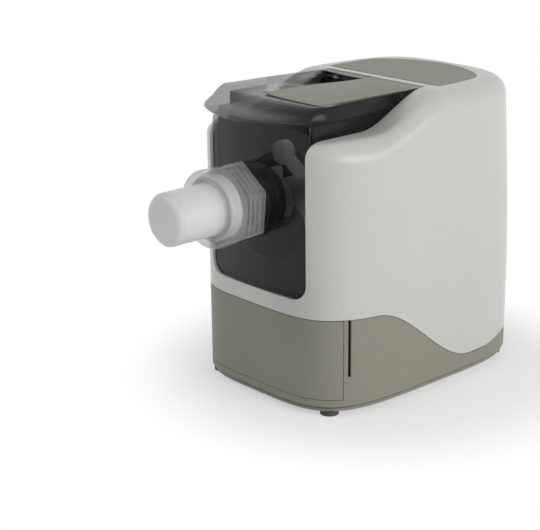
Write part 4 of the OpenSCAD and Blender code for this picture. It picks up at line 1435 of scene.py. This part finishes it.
class Lid:
    """The smoky lid with its raised front lip, and the grey plate let into it."""

    def build(self, shop: Workshop) -> None:
        """Dresses the lid's shell and makes its plate.

        Args:
            shop: the workshop.
        """
        shop.smoothed(Piece("lid_top", Body.LID, Slot.SMOKY, ("lid_shell",), sharp=32.0),
                      "lid_shell")
        shop.smoothed(Piece("plate", Body.LID, Slot.GREY, ("lid_plate",), edge=0.5, sharp=40.0),
                      "lid_plate")


# ---------------------------------------------------------------- stage, light and camera


@dataclass(frozen=True)
class Lamp:
    """A soft lamp: its place and the width and height of its face in metres, and watts."""

    name: str
    at: tuple[float, float, float]
    size: tuple[float, float]
    power: float


@dataclass(frozen=True)
class Studio:
    """A white floor, soft lights and a camera at the photograph's angle."""

    camera_at: tuple[float, float, float] = (1.022356, -0.989279, 0.582404)
    right: tuple[float, float, float] = (0.67078157, 0.74158933, -0.00986631)
    up: tuple[float, float, float] = (-0.22494628, 0.2161086, 0.95010328)
    back: tuple[float, float, float] = (0.70671865, -0.63509238, 0.31177943)
    lens: float = 100.04
    sensor: float = 36.0
    lamps: tuple[Lamp, ...] = (
        Lamp("KeyLamp", (2.0, 0.25, 0.95), (1.4, 1.2), 22.0),
        Lamp("FillLamp", (-0.9, -1.4, 1.5), (0.9, 0.9), 7.5),
        Lamp("TopLamp", (0.1, 0.4, 2.2), (1.6, 1.2), 1.0),
    )
    lamp_aim: tuple[float, float, float] = (0.0, 0.0, 0.15)
    sky: tuple[float, float, float, float] = (0.95, 0.97, 1.0, 1.0)
    sky_strength: float = 0.34
    floor_colour: tuple[float, float, float, float] = (0.93, 0.93, 0.93, 1.0)
    floor_roughness: float = 0.9
    floor_specular: float = 0.1
    floor_half: float = 9.0
    shadow_middle: tuple[float, float, float] = (0.02, 0.054, 0.0)
    shadow_reach: tuple[float, float] = (0.15, 0.27)
    least_white: float = 0.5

    def build(self) -> None:
        """Makes the floor, the lights, the world and the camera."""
        bpy.context.scene.view_settings.view_transform = "Standard"
        self._floor()
        self._world()
        for lamp in self.lamps:
            self._light(lamp)
        self._camera()

    def _floor(self) -> None:
        """A floor that is lit near the object and plain white further out."""
        s = self.floor_half
        mesh = bpy.data.meshes.new("floor")
        mesh.from_pydata([(-s, -s, 0), (s, -s, 0), (s, s, 0), (-s, s, 0)], [], [(0, 1, 2, 3)])
        floor = bpy.data.objects.new("floor", mesh)
        bpy.context.collection.objects.link(floor)
        mat = bpy.data.materials.new("StudioFloor")
        mat.use_nodes = True
        tree = mat.node_tree
        shader = tree.nodes["Principled BSDF"]
        shader.inputs["Base Color"].default_value = self.floor_colour
        shader.inputs["Roughness"].default_value = self.floor_roughness
        shader.inputs["Specular IOR Level"].default_value = self.floor_specular
        far = tree.nodes.new("ShaderNodeVectorMath")
        far.operation = "LENGTH"
        off = tree.nodes.new("ShaderNodeVectorMath")
        off.operation = "SUBTRACT"
        off.inputs[1].default_value = self.shadow_middle
        tree.links.new(object_place(tree), off.inputs[0])
        tree.links.new(off.outputs["Vector"], far.inputs[0])
        ramp = tree.nodes.new("ShaderNodeMapRange")
        ramp.interpolation_type = "SMOOTHSTEP"
        ramp.inputs["To Min"].default_value = self.least_white
        ramp.inputs["From Min"].default_value = self.shadow_reach[0]
        ramp.inputs["From Max"].default_value = self.shadow_reach[1]
        tree.links.new(far.outputs["Value"], ramp.inputs["Value"])
        white = tree.nodes.new("ShaderNodeEmission")
        seen = math_node(tree, "MULTIPLY", self._seen(tree), ramp.outputs["Result"])
        self._show(tree, seen, shader, white, tree.nodes["Material Output"])
        floor.data.materials.append(mat)

    @staticmethod
    def _seen(tree: bpy.types.NodeTree) -> object:
        """A socket that is 1 for camera, glossy and transmission rays, and 0 for others."""
        path = tree.nodes.new("ShaderNodeLightPath")
        seen = math_node(tree, "MAXIMUM", path.outputs["Is Camera Ray"],
                         path.outputs["Is Transmission Ray"])
        return math_node(tree, "MAXIMUM", seen, path.outputs["Is Glossy Ray"])

    @staticmethod
    def _show(tree: bpy.types.NodeTree, seen: object, lit: bpy.types.Node,
              white: bpy.types.Node, output: bpy.types.Node) -> None:
        """Shows the lit shader where seen is 0 and plain white where it is 1.

        Args:
            tree: the tree of the nodes.
            seen: socket that runs from 0 to 1.
            lit: shader that takes the light.
            white: shader whose colour is made white.
            output: the tree's output node.
        """
        white.inputs["Color"].default_value = (1.0, 1.0, 1.0, 1.0)
        mix = tree.nodes.new("ShaderNodeMixShader")
        tree.links.new(seen, mix.inputs["Fac"])
        tree.links.new(lit.outputs[0], mix.inputs[1])
        tree.links.new(white.outputs[0], mix.inputs[2])
        tree.links.new(mix.outputs[0], output.inputs["Surface"])

    def _world(self) -> None:
        """Soft even light, and white where the camera sees the sky."""
        world = bpy.data.worlds.new("StudioWorld")
        bpy.context.scene.world = world
        world.use_nodes = True
        tree = world.node_tree
        soft = tree.nodes["Background"]
        soft.inputs["Color"].default_value = self.sky
        soft.inputs["Strength"].default_value = self.sky_strength
        white = tree.nodes.new("ShaderNodeBackground")
        self._show(tree, self._seen(tree), soft, white, tree.nodes["World Output"])

    def _light(self, lamp: Lamp) -> None:
        """Adds a lamp that looks at the machine.

        Args:
            lamp: its name, place, face and power.
        """
        data = bpy.data.lights.new(lamp.name, "AREA")
        data.shape = "RECTANGLE"
        data.size, data.size_y = lamp.size
        data.energy = lamp.power
        obj = bpy.data.objects.new(lamp.name, data)
        obj.location = lamp.at
        aim = Vector(self.lamp_aim) - Vector(lamp.at)
        obj.rotation_euler = aim.to_track_quat("-Z", "Y").to_euler()
        bpy.context.collection.objects.link(obj)

    def _camera(self) -> None:
        """Puts the camera where the photograph was taken from."""
        data = bpy.data.cameras.new("Camera")
        data.lens = self.lens
        data.sensor_width = self.sensor
        camera = bpy.data.objects.new("Camera", data)
        turn = Matrix((self.right, self.up, self.back)).transposed().to_4x4()
        camera.matrix_world = Matrix.Translation(self.camera_at) @ turn
        bpy.context.collection.objects.link(camera)
        bpy.context.scene.camera = camera


# ---------------------------------------------------------------- the whole machine


class PastaMaker:
    """All sub-assemblies of the machine in their order."""

    def __init__(self) -> None:
        """Reads the casing's place from the frame and sets up the workshop."""
        low, _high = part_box("drive_shaft")
        self.shop = Workshop(low.y / MM - SHAFT_FRONT)
        self.parts = (WhiteCasing(), GreyBase(), DrawerFront(), ControlPanel(), WindowCover(),
                      Barrel(), DieHead(), ClampNut(), Lid())

    def build(self) -> None:
        """Builds every sub-assembly, then finishes the CAD nodes that stay."""
        for part in self.parts:
            part.build(self.shop)
        self._dress_nodes()

    def _dress_nodes(self) -> None:
        """Gives each CAD node the finish of its slot."""
        slots = {slot.value: slot for slot in Slot}
        for name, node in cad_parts.items():
            for place in node.material_slots:
                label = place.material.name.split(".")[0] if place.material else ""
                if label in slots:
                    place.material = self.shop.materials[slots[label]]
                    LOG.info("%s: %s", name, label)
                else:
                    LOG.warning("%s has no known slot: %s", name, label)


def main() -> None:
    """Builds the machine and its stage."""
    logging.basicConfig(level=logging.INFO, format="%(message)s")
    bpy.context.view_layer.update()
    PastaMaker().build()
    Studio().build()


if __name__ == "__main__":
    main()
